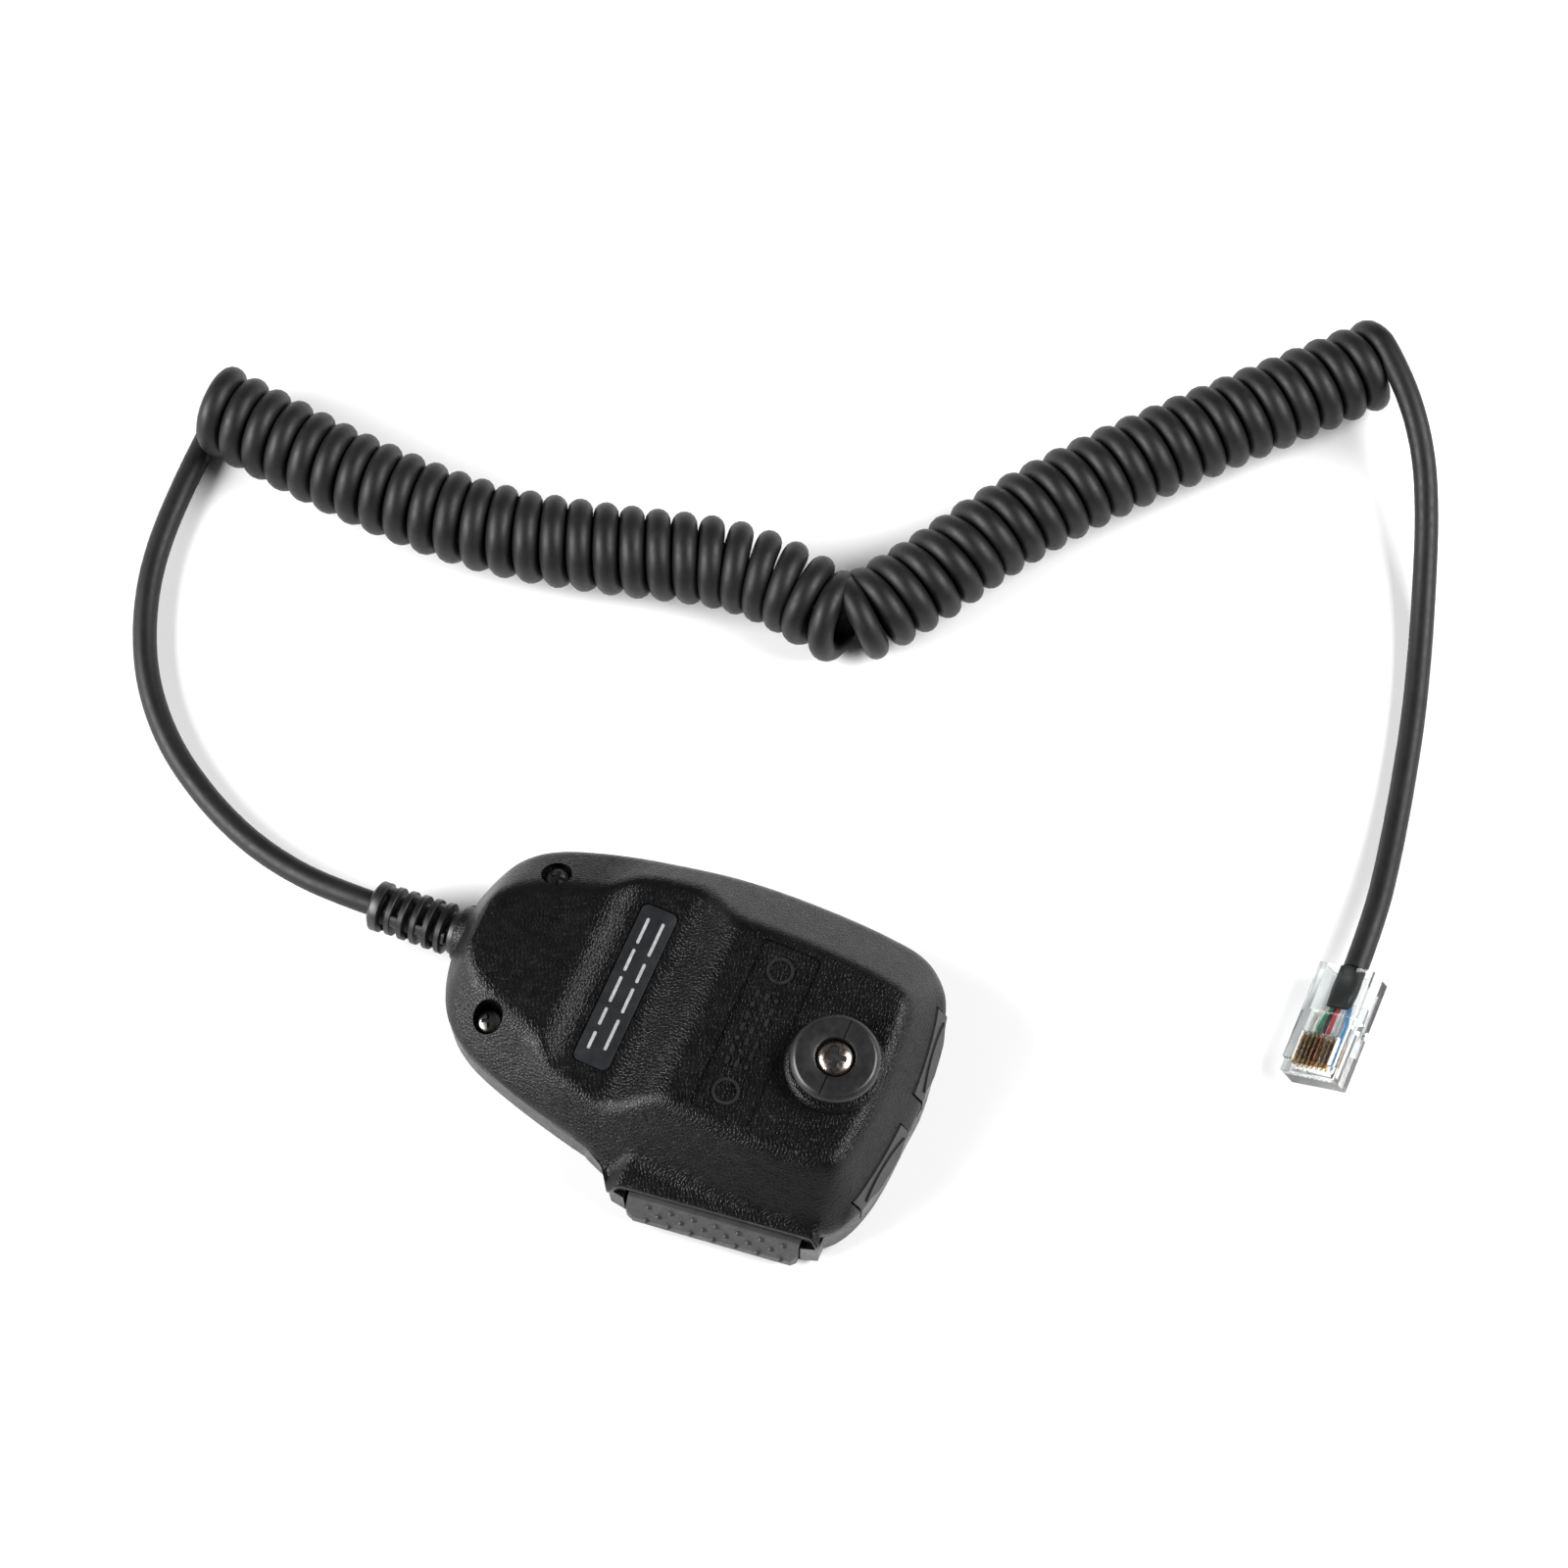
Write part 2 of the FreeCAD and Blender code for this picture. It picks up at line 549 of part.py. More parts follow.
def plug_latch():
    """Latch arm under the housing, bending at its root near the nose."""
    side = [(20.4, -3.45), (21.2, -3.45), (21.2, -3.9), (20.8, -4.3), (7.2, -5.05), (5.2, -4.75),
            (5.2, -4.25), (7.2, -4.25), (19.6, -3.9)]
    wire = Part.makePolygon([V(x, -2.9, z) for x, z in side + side[:1]])
    arm = Part.Face(wire).extrude(V(0, 5.8, 0))
    root = Part.makeCylinder(0.4, 5.8, V(20.8, -2.9, -3.9), V(0, 1, 0))
    return plug_place(arm.fuse(root).removeSplitter())


def save(name, shape, move=True):
    if move:
        shape.translate(SHIFT)
    if not shape.isValid():
        print("not valid:", name)
    shape.exportStep("parts/" + name + ".step")


def main():
    os.makedirs("parts", exist_ok=True)
    save("back_shell", back_shell())
    save("front_shell", front_shell())
    save("hanger_knob", hanger_knob())
    save("hanger_screw", screw(0, KNOB_Y, KNOB_TOP_Z - 0.1, 3.25, 2.0, 1.5, 8.6, 2.1))
    save("hanger_nut", hanger_nut())
    save("label_plate", rounded(0, LABEL_Y, LABEL_W - 0.4, LABEL_H - 0.4, 1.35, VALLEY_Z - 0.55, VALLEY_Z - 0.1))
    save("case_screws", case_screws())
    save("board_screws", board_screws())
    save("talk_bar", talk_bar())
    save("talk_pin", talk_pin())
    save("talk_switch", talk_switch())
    save("talk_plunger", talk_plunger())
    save("up_key", side_key(1))
    save("down_key", side_key(-1))
    save("side_switches", side_switches())
    for name, x, y in key_places():
        save("key_" + name, keypad_key(x, y))
    save("keypad_membrane", box(-21.0, 21.0, -39.2, 7.4, 4.6, BOARD_Z))
    save("circuit_board", circuit_board())
    save("mic_capsule", cylinder(0, CAPSULE_Y - 1.6, 3.3, 9.0, 4.85))
    save("capsule_boot", capsule_boot())
    save("strain_relief", strain_relief())
    save("inner_cord", inner_cord())
    save("cord_clamp", cord_clamp())
    save("inner_wires", inner_wires())
    save("board_connector", board_connector())
    save("cord_lead", route_tube(LEAD_ROUTE, CABLE_R, "lead"), False)
    save("cord_curl", route_tube(CURL_ROUTE, CURL_R, "curl"), False)
    save("cord_tail", route_tube(TAIL_ROUTE, CABLE_R, "tail"), False)
    save("plug_housing", plug_housing(), False)
    save("plug_latch", plug_latch(), False)
    save("plug_contacts", plug_contacts(), False)
    save("plug_wires", plug_wires(), False)
    save("plug_jacket_end", plug_jacket_end(), False)


main()
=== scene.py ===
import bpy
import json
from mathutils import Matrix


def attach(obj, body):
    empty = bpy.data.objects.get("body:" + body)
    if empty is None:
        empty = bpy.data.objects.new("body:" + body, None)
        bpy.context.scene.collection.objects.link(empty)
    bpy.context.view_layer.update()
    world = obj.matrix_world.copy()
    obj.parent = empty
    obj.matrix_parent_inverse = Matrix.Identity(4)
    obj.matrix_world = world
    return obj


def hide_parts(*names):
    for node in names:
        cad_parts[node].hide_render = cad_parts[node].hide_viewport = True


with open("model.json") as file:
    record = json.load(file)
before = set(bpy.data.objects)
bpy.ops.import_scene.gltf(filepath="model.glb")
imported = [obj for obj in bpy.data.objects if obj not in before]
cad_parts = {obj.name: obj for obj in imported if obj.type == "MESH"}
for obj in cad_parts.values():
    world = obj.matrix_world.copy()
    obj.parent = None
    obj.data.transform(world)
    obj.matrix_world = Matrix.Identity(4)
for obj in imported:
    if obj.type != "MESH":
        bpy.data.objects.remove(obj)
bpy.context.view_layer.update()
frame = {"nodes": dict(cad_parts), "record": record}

import json
import math

import bmesh
import bpy
import mathutils
from mathutils import Matrix, Vector

# The body is drawn in millimetres about its own centre line (x = 0, +Y towards the head). put()
# moves it by SHIFT and gives the frame's metres. The cord and the plug are placed in the frame.
MM = 0.001
SHIFT = Vector((-3.0, 30.08, 0.0))

# Case
PART_Z = 11.5            # level where the two shells meet
EDGE_Z = 13.2            # top of the upright side wall
WALL = 2.2
HEAD_Z = 26.0            # flat top of the head
VALLEY_Z = 19.8          # finger valley with the label
NECK_Z = 21.2            # raised neck at the cable end
LIP_Z = 15.0             # lip over the talk bar
LIP_UNDER_Z = 13.5
BAY_FLOOR_Z = 2.6
BAY_PLAN = [(26.4, 7.0), (40, 7.0), (40, -26.85), (28.9, -26.85), (26.4, -6)]
HEAD_EDGE_Y = 16.9
HEAD_EDGE_BEND = 0.0055
TAIL_EDGE_Y = -76.0
TAIL_EDGE_BEND = 0.011
SIDE_ROOM_X = 2.9
SIDE_ROOM_W = 17.6
SIDE_ROOM_Z0 = 7.9
SIDE_ROOM_Z1 = 16.9
SIDE_ROOM_DEPTH = 5.3
RIM_DEPTHS = [0.0, 0.1, 0.22, 0.36, 0.55, 0.8, 1.1, 1.5, 2.0, 2.6, 3.3]
FILL_GAP = 0.8           # grid of the case's middle
GROOVE = 0.16            # inset of the case's lower edge, which shows as the joint line
# Half of the outline at the joint line, from the head round to the cable end
HALF_OUTLINE = [(0, 17.0), (12, 16.2), (20, 14.7), (25.2, 12.2), (28.6, 8.2), (30.2, 3.0),
                (31.0, -12), (30.2, -30), (27.4, -46), (24.3, -58), (20.6, -67), (16.0, -72.0),
                (9.0, -75.1), (0, -76.0)]
# The talk bar's hood on the +X side, and the radius of each of its corners
HOOD_BACK = [(28.05, 9.5), (29.5, 10.2), (30.4, 10.1), (29.35, 8.4), (34.15, -28.0), (35.7, -30.0),
             (31.4, -33.0), (29.5, -37.0), (28.85, -40.0)]
HOOD_BACK_R = [0, 0.6, 0.35, 1.6, 1.2, 0.35, 4.0, 6.0, 0]

# Knob, label, sunk panel and screws
KNOB_Y = 0.5
KNOB_FLANGE_R = 8.3
KNOB_NECK_R = 6.4
KNOB_TOP_Z = 31.6
PAD_R = 9.4
LABEL_Y = -41.9
LABEL_W = 33.4
LABEL_H = 7.6
PANEL_Y = -15.3
PANEL_W = 34.9
PANEL_H = 11.8
PANEL_Z = 25.45
SCREW_X = 15.3
SCREW_Y = -63.2
SCREW_SEAT_Z = 14.6
SCREW_RECESS_R = 2.95

# Strain relief, keys and plug
BOOT_START = Vector((-0.1, -71.8, 9.5))
BOOT_END = Vector((1.0, -94.9, 7.2))
BOOT_HOLE_R = 4.85
FINS = 5
FIN_START = 7.6
FIN_PITCH = 2.62
KEY_NAMES = [["1", "2", "3", "a"], ["4", "5", "6", "b"], ["7", "8", "9", "c"],
             ["star", "0", "hash", "d"], ["p1", "p2", "p3", "p4"]]
KEY_PITCH_X = 10.6
KEY_PITCH_Y = 9.5
KEY_TOP_Y = 3.5
KEY_FACE_Z = 0.3
PLUG_BACK = Vector((-64.2, 112.28, 5.98))
PLUG_ROLL = 33.0
CONTACT_PITCH = 1.02
TURN_SWELL = 1.06        # the turns are this much thicker than the straight ends

# Light
WORLD_STRENGTH = 0.36
LIGHTS = [("left_soft", (0.5, -0.85, 0.62), (0.9, 0.6), 30.0),
          ("right_soft", (-0.42, 0.86, 0.85), (0.9, 0.7), 26.0)]


def put(points):
    """Body millimetres to frame metres."""
    return [(Vector(p) + SHIFT) * MM for p in points]


# ------------------------------------------------------------------ camera

TARGET = Vector((-58.2, -3.62, 0.0)) * MM
CAMERA_TURN = math.radians(23.5)
CAMERA_RISE = math.radians(70.0)
CAMERA_DISTANCE = 0.7


def add_camera():
    flat = math.cos(CAMERA_RISE)
    away = Vector((flat * math.cos(CAMERA_TURN), flat * math.sin(CAMERA_TURN), math.sin(CAMERA_RISE)))
    data = bpy.data.cameras.new("camera")
    data.sensor_width = 36.0
    data.lens = 81.9
    camera = bpy.data.objects.new("camera", data)
    camera.location = TARGET + away * CAMERA_DISTANCE
    camera.rotation_euler = (-away).to_track_quat("-Z", "Y").to_euler()
    bpy.context.scene.collection.objects.link(camera)
    bpy.context.scene.camera = camera


# ------------------------------------------------------------------ cord

CABLE_R = 2.4
CURL_PATH_R = 6.6
TURNS = 49
POINTS_PER_TURN = 14
LEAD_ROUTE = [(-2.0, -64.82, 7.2), (-1.7, -74.72, 5.9), (-2.9, -85.22, 4.0), (-5.5, -95.52, 2.8),
              (-10.0, -106.12, 2.4), (-16.8, -117.32, 2.4), (-26.4, -126.92, 2.4), (-37.8, -133.62, 2.4),
              (-50.6, -138.02, 2.4), (-65.6, -139.82, 2.4), (-80.4, -139.62, 2.4)]
CURL_ROUTE = [(-84.0, -142.7, 9.0), (-82.3, -126.1, 9.0), (-80.4, -103.1, 9.0), (-80.9, -77.1, 9.0),
              (-87.2, -52.1, 9.0), (-92.6, -34.7, 9.0), (-93.8, -25.7, 9.0), (-93.4, -15.8, 9.0),
              (-90.9, -6.5, 9.0), (-92.3, -2.8, 9.0), (-101.8, 3.8, 9.0), (-109.6, 8.8, 9.0),
              (-118.9, 13.8, 9.0), (-137.2, 26.7, 9.0), (-160.5, 47.6, 9.0), (-188.4, 73.7, 9.0)]
TAIL_ROUTE = [(-186.2, 72.18, 15.4), (-178.2, 80.68, 14.8), (-169.0, 87.48, 11.7), (-158.6, 92.48, 8.0),
              (-147.2, 96.68, 4.8), (-134.2, 100.88, 2.8), (-119.8, 104.78, 2.4), (-103.8, 108.08, 2.6),
              (-89.6, 110.48, 3.6), (-76.8, 112.08, 5.4), (-64.2, 112.28, 5.98)]


def nurbs(name, points, bevel=0.0):
    """Open curve with these points (metres) as the control points of its spline."""
    data = bpy.data.curves.new(name, "CURVE")
    data.dimensions = "3D"
    spline = data.splines.new("NURBS")
    spline.points.add(len(points) - 1)
    for point, at in zip(spline.points, points):
        point.co = (at[0], at[1], at[2], 1.0)
    spline.order_u = 3
    spline.use_endpoint_u = True
    spline.resolution_u = 6
    data.bevel_depth = bevel
    data.bevel_resolution = 6
    data.use_fill_caps = True
    piece = bpy.data.objects.new(name, data)
    bpy.context.scene.collection.objects.link(piece)
    return piece


def read_line(points):
    """Points along the route's own spline."""
    guide = nurbs("guide", points)
    guide.data.splines[0].resolution_u = 24
    mesh = bpy.data.meshes.new_from_object(guide)
    line = [v.co.copy() for v in mesh.vertices]
    bpy.data.meshes.remove(mesh)
    bpy.data.objects.remove(guide)
    return line


def helix_points():
    """Turns of the curl, wound right-handed round the curl's axis, from its underside."""
    axis = read_line([Vector(p) * MM for p in CURL_ROUTE])
    reach = [0.0]
    for a, b in zip(axis, axis[1:]):
        reach.append(reach[-1] + (b - a).length)
    first = CABLE_R * MM
    last = reach[-1] - first
    total = TURNS * POINTS_PER_TURN + POINTS_PER_TURN // 2
    points = []
    i = 0
    for n in range(total + 1):
        s = first + (last - first) * n / total
        while i < len(reach) - 2 and reach[i + 1] < s:
            i += 1
        part = (s - reach[i]) / (reach[i + 1] - reach[i])
        centre = axis[i].lerp(axis[i + 1], part)
        before = axis[max(i - 3, 0)]
        after = axis[min(i + 4, len(axis) - 1)]
        along = (after - before).normalized()
        side = Vector((0, 0, 1)).cross(along).normalized()
        angle = -math.pi / 2 + 2 * math.pi * n / POINTS_PER_TURN
        r = CURL_PATH_R * MM / math.cos(math.pi / POINTS_PER_TURN)
        points.append(centre + side * (r * math.cos(angle)) + Vector((0, 0, r * math.sin(angle))))
    return points


# ------------------------------------------------------------------ mesh helpers


def new_piece(name, verts, faces, smooth=35, body="case"):
    mesh = bpy.data.meshes.new(name)
    mesh.from_pydata([tuple(v) for v in verts], [], faces)
    mesh.validate()
    piece = bpy.data.objects.new(name, mesh)
    bpy.context.scene.collection.objects.link(piece)
    tidy_normals(piece, smooth)
    if body:
        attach(piece, body)
    return piece


def tidy_normals(piece, smooth):
    """Outward faces, shaded smooth except across edges sharper than smooth degrees."""
    mesh = piece.data
    work = bmesh.new()
    work.from_mesh(mesh)
    bmesh.ops.recalc_face_normals(work, faces=work.faces)
    work.to_mesh(mesh)
    work.free()
    mesh.shade_smooth()
    mesh.set_sharp_from_angle(angle=math.radians(smooth))


def lathe(profile, steps=64, start=Vector((0, 0, 0)), axis=Vector((0, 0, 1))):
    """Verts and faces of a profile of (radius, height) turned about an axis; ends on the axis close it."""
    turn = axis.normalized().to_track_quat("Z", "Y")
    verts = []
    faces = []
    for r, h in profile:
        for i in range(steps):
            a = 2 * math.pi * i / steps
            verts.append(start + turn @ Vector((r * math.cos(a), r * math.sin(a), h)))
    for k in range(len(profile) - 1):
        for i in range(steps):
            j = (i + 1) % steps
            faces.append((k * steps + i, k * steps + j, (k + 1) * steps + j, (k + 1) * steps + i))
    faces.append(tuple(range(steps))[::-1])
    last = (len(profile) - 1) * steps
    faces.append(tuple(range(last, last + steps)))
    return verts, faces


def stack(loops, close=True):
    """Verts and faces through loops of equal length, capped at both ends."""
    n = len(loops[0])
    verts = [Vector(p) for loop in loops for p in loop]
    faces = []
    for k in range(len(loops) - 1):
        for i in range(n):
            j = (i + 1) % n
            faces.append((k * n + i, k * n + j, (k + 1) * n + j, (k + 1) * n + i))
    if close:
        faces.append(tuple(range(n))[::-1])
        last = (len(loops) - 1) * n
        faces.append(tuple(range(last, last + n)))
    return verts, faces


def rounded_rect(cx, cy, w, h, r, per_corner=6):
    loop = []
    for k, (sx, sy) in enumerate(((1, 1), (-1, 1), (-1, -1), (1, -1))):
        for i in range(per_corner + 1):
            a = math.pi / 2 * (k + i / per_corner)
            loop.append((cx + sx * (w / 2 - r) + r * math.cos(a), cy + sy * (h / 2 - r) + r * math.sin(a)))
    return loop


def plate_mesh(cx, cy, w, h, r, levels, per_corner=6):
    """Rounded plate through levels of (inset, z)."""
    loops = []
    for inset, z in levels:
        loop = rounded_rect(cx, cy, w - 2 * inset, h - 2 * inset, max(r - inset, 0.05), per_corner)
        loops.append([(x, y, z) for x, y in loop])
    return stack(loops)


def merge(parts):
    """One list of verts and one of faces for several shapes."""
    verts = []
    faces = []
    for part_verts, part_faces in parts:
        base = len(verts)
        verts += part_verts
        faces += [tuple(i + base for i in face) for face in part_faces]
    return verts, faces


def box_mesh(x0, x1, y0, y1, z0, z1):
    return stack([[(x0, y0, z), (x1, y0, z), (x1, y1, z), (x0, y1, z)] for z in (z0, z1)])


def prism_mesh(plan, z0, z1):
    return stack([[(x, y, z) for x, y in plan] for z in (z0, z1)])


# ------------------------------------------------------------------ case shape


def smooth_min(a, b, r):
    """The smaller value, blended where the two are within r of each other."""
    h = max(r - abs(a - b), 0) / r
    return min(a, b) - h * h * r / 4


def smooth_step(a, b, t):
    """0 at a and 1 at b, with soft ends; a may be above b."""
    s = min(max((t - a) / (b - a), 0), 1)
    return s * s * (3 - 2 * s)


def through(points, steps):
    """Smooth closed curve through plan points (Catmull-Rom)."""
    line = []
    n = len(points)
    for i in range(n):
        p0, p1, p2, p3 = (Vector(points[(i + k) % n]) for k in (-1, 0, 1, 2))
        d1 = (p2 - p1).length
        m1 = (p2 - p0) * (d1 / ((p2 - p1).length + (p1 - p0).length))
        m2 = (p3 - p1) * (d1 / ((p3 - p2).length + (p2 - p1).length))
        for k in range(steps):
            t = k / steps
            a = 2 * t ** 3 - 3 * t ** 2 + 1
            b = t ** 3 - 2 * t ** 2 + t
            c = -2 * t ** 3 + 3 * t ** 2
            d = t ** 3 - t ** 2
            line.append(p1 * a + m1 * b + p2 * c + m2 * d)
    return line


def fillet_path(points, radii, steps=6):
    """Open plan path with rounded corners."""
    path = [Vector(points[0])]
    for k in range(1, len(points) - 1):
        corner = Vector(points[k])
        u = (Vector(points[k - 1]) - corner)
        w = (Vector(points[k + 1]) - corner)
        half = u.angle(w) / 2
        back = min(radii[k] / math.tan(half), 0.48 * min(u.length, w.length))
        r = back * math.tan(half)
        u.normalize()
        w.normalize()
        centre = corner + (u + w).normalized() * (r / math.sin(half))
        start = corner + u * back - centre
        end = corner + w * back - centre
        for i in range(steps + 1):
            way = start.lerp(end, i / steps)
            path.append(centre + way.normalized() * r)
    path.append(Vector(points[-1]))
    return path


def even(path, gap):
    """Closed path with about equal spacing."""
    path = path + path[:1]
    reach = [0.0]
    for a, b in zip(path, path[1:]):
        reach.append(reach[-1] + (b - a).length)
    count = int(reach[-1] / gap)
    out = []
    i = 0
    for n in range(count):
        s = reach[-1] * n / count
        while reach[i + 1] < s:
            i += 1
        out.append(path[i].lerp(path[i + 1], (s - reach[i]) / (reach[i + 1] - reach[i])))
    return out


def case_outline():
    """Whole outline at the joint line, from the points of its half."""
    left = [(-x, y) for x, y in HALF_OUTLINE[1:-1]]
    return through(HALF_OUTLINE + left[::-1], 24)


def case_plan(hood, radii, gap=0.55):
    """Plan of a shell: the outline with the talk bar's hood on its +X side."""
    line = case_outline()
    first = next(i for i, p in enumerate(line) if p.x > 20 and p.y < hood[0][1])
    last = next(i for i, p in enumerate(line) if p.x > 20 and p.y < hood[-1][1])
    return even(line[:first] + fillet_path(hood, radii) + line[last:], gap)


def half_width(y):
    """Half the outline's width at y, a smooth curve through the long side's points."""
    side = HALF_OUTLINE[3:-1]
    y = min(max(y, side[-1][1]), side[0][1])
    i = next(n for n in range(len(side) - 1) if side[n + 1][1] <= y)
    (xa, ya), (xb, yb) = side[i], side[i + 1]
    before = side[max(i - 1, 0)]
    after = side[min(i + 2, len(side) - 1)]
    run = ya - yb
    slope_a = (xb - before[0]) / (before[1] - yb) * run
    slope_b = (after[0] - xa) / (ya - after[1]) * run
    t = (ya - y) / run
    swing = (t ** 3 - 2 * t * t + t) * slope_a + (t ** 3 - t * t) * slope_b
    return xa + (xb - xa) * t * t * (3 - 2 * t) + swing


def head_edge(x, out=0.0):
    """Y of the rounded head end at x, moved out by a distance."""
    return HEAD_EDGE_Y - HEAD_EDGE_BEND * x * x + out


def back_height(x, y):
    """Height of the back shell's outer surface."""
    top = HEAD_Z + (VALLEY_Z - HEAD_Z) * smooth_step(-25, -38, y)
    top += (NECK_Z - VALLEY_Z) * smooth_step(-46.5, -52.5, y)
    steep = 1.08 - 0.3 * smooth_step(-44, -56, y)
    side = EDGE_Z + steep * (half_width(y) - abs(x))
    head = EDGE_Z + 0.3 + 1.75 * (head_edge(x) - y)
    tail = EDGE_Z + 2.4 * (y - TAIL_EDGE_Y - TAIL_EDGE_BEND * x * x)
    hood = LIP_Z + 0.10 * (33.0 - x) - max(24 - x, 0) - 1.1 * max(y - 8.5, 0) - 1.3 * max(-28.5 - y, 0)
    side = -smooth_min(-side, -hood, 1.6)
    return smooth_min(smooth_min(smooth_min(top, side, 1.7), head, 3.2), tail, 2.4)


def inward(p, depth):
    """Point depth inside a plan point, towards the body's middle line."""
    spine = Vector((0.0, min(max(p.y, -56.0), -2.0)))
    return p + (spine - p).normalized() * depth


def filled(loop):
    """Plan points and triangles that fill a loop with an even grid of points."""
    ys = [p.y for p in loop]
    n = len(loop)
    rows = int((max(ys) - min(ys)) / FILL_GAP)
    points = list(loop)
    for i in range(1, rows):
        y = min(ys) + (max(ys) - min(ys)) * i / rows
        hits = sorted(a.x + (b.x - a.x) * (y - a.y) / (b.y - a.y)
                      for a, b in zip(loop, loop[1:] + loop[:1]) if (a.y > y) != (b.y > y))
        for x0, x1 in zip(hits[::2], hits[1::2]):
            count = max(int((x1 - x0) / FILL_GAP), 2)
            points += [Vector((x0 + (x1 - x0) * k / count, y)) for k in range(1, count)]
    edges = [(i, (i + 1) % n) for i in range(n)]
    out = mathutils.geometry.delaunay_2d_cdt(points, edges, [], 1, 0.00001)
    return out[0], out[2]


def domed_solid(plan, bottom, height, depths, groove=0.0):
    """Closed solid on a plan: upright wall, then rings into the height surface, then its filled middle."""
    loops = [[(q.x, q.y, bottom) for q in (inward(p, groove) for p in plan)]]
    if groove:
        loops.append([(p.x, p.y, bottom + 0.22) for p in plan])
    for depth in depths:
        ring = [inward(p, depth) for p in plan]
        loops.append([(q.x, q.y, max(height(q, depth), bottom + 0.3)) for q in ring])
    verts, faces = stack(loops, close=False)
    n = len(plan)
    faces.append(tuple(range(n))[::-1])
    ring = [inward(p, depths[-1]) for p in plan]
    points, triangles = filled(ring)
    index = {}
    last = (len(loops) - 1) * n
    for i, p in enumerate(points):
        if i < n:
            index[i] = last + i
        else:
            index[i] = len(verts)
            verts.append(Vector((p.x, p.y, max(height(p, depths[-1] + 9), bottom + 0.3))))
    faces += [tuple(index[i] for i in t) for t in triangles]
    return verts, faces


def outer_height(q, depth):
    """Back surface with a rounded edge, tighter along the lip over the talk bar."""
    on_lip = smooth_step(27.0, 29.0, q.x) * smooth_step(12, 9.4, q.y) * smooth_step(-33, -30.5, q.y)
    r = 1.3 - 0.75 * on_lip
    fall = r - math.sqrt(max(r * r - max(r - depth, 0) ** 2, 0))
    return back_height(q.x, q.y) - fall * (0.75 + 0.25 * on_lip)


def room_height(q, depth):
    """Inside of the back, the same at every depth from the rim."""
    return back_height(q.x, q.y) - WALL


def talk_bay():
    return prism_mesh(BAY_PLAN, BAY_FLOOR_Z, LIP_UNDER_Z)


def side_key_rooms():
    """Two openings that follow the head end, one for each key."""
    rooms = []
    for sign in (1, -1):
        xs = [SIDE_ROOM_X + SIDE_ROOM_W * i / 12 for i in range(13)]
        plan = [(sign * x, head_edge(x, 4)) for x in xs]
        plan += [(sign * x, head_edge(x, -SIDE_ROOM_DEPTH)) for x in reversed(xs)]
        rooms.append(prism_mesh(plan, SIDE_ROOM_Z0, SIDE_ROOM_Z1))
    return rooms


def round_hole(x, y, z0, z1, r, steps=48):
    return lathe([(r, 0), (r, z1 - z0)], steps, Vector((x, y, z0)))


def boot_way():
    return (BOOT_END - BOOT_START).normalized()


def panel_recess():
    """Shallow recess below the hanger."""
    return prism_mesh(rounded_rect(0, PANEL_Y, PANEL_W, PANEL_H, 1.0, 5), PANEL_Z, HEAD_Z + 2)


def boot_tube(r, a, b):
    """Hole along the strain relief's axis."""
    return lathe([(r, a), (r, b)], 48, BOOT_START, BOOT_END - BOOT_START)


# ------------------------------------------------------------------ materials


class Look:
    """A node material on one Principled shader."""

    def __init__(self, name, rough=0.5, metal=0.0, colour=(0.5, 0.5, 0.5)):
        self.material = bpy.data.materials.new(name)
        self.material.use_nodes = True
        self.tree = self.material.node_tree
        self.shader = self.tree.nodes["Principled BSDF"]
        self.shader.inputs["Roughness"].default_value = rough
        self.shader.inputs["Metallic"].default_value = metal
        self.shader.inputs["Base Color"].default_value = (*colour, 1)
        self.place = self.node("ShaderNodeTexCoord").outputs["Object"]
        self.material.diffuse_color = (*colour, 1)

    def node(self, kind, **values):
        node = self.tree.nodes.new(kind)
        for name, value in values.items():
            setattr(node, name, value)
        return node

    def link(self, a, b):
        self.tree.links.new(a, b)

    def noise(self, size, detail=3.0, rough=0.55):
        """Noise with features about size millimetres across."""
        node = self.node("ShaderNodeTexNoise")
        node.inputs["Scale"].default_value = 1000.0 / size
        node.inputs["Detail"].default_value = detail
        node.inputs["Roughness"].default_value = rough
        self.link(self.place, node.inputs["Vector"])
        return node.outputs["Fac"]

    def cells(self, size):
        """Distance to the nearest edge of cells about size millimetres across."""
        node = self.node("ShaderNodeTexVoronoi", feature="DISTANCE_TO_EDGE")
        node.inputs["Scale"].default_value = 1000.0 / size
        self.link(self.place, node.inputs["Vector"])
        return node.outputs["Distance"]

    def ramp(self, source, stops):
        node = self.node("ShaderNodeValToRGB")
        ramp = node.color_ramp
        while len(ramp.elements) < len(stops):
            ramp.elements.new(0.5)
        for element, (at, value) in zip(ramp.elements, stops):
            element.position = at
            colour = value if isinstance(value, tuple) else (value, value, value)
            element.color = (*colour, 1)
        self.link(source, node.inputs["Fac"])
        return node.outputs["Color"]

    def colour(self, source, stops):
        self.link(self.ramp(source, stops), self.shader.inputs["Base Color"])

    def roughness(self, source, low, high, a=0.3, b=0.7):
        self.link(self.ramp(source, [(a, low), (b, high)]), self.shader.inputs["Roughness"])

    def bump(self, source, depth, strength=1.0):
        """Adds a bump depth millimetres high on top of earlier ones."""
        node = self.node("ShaderNodeBump")
        node.inputs["Strength"].default_value = strength
        node.inputs["Distance"].default_value = depth * MM
        self.link(source, node.inputs["Height"])
        normal = self.shader.inputs["Normal"]
        if normal.is_linked:
            self.link(normal.links[0].from_socket, node.inputs["Normal"])
        self.link(node.outputs["Normal"], normal)


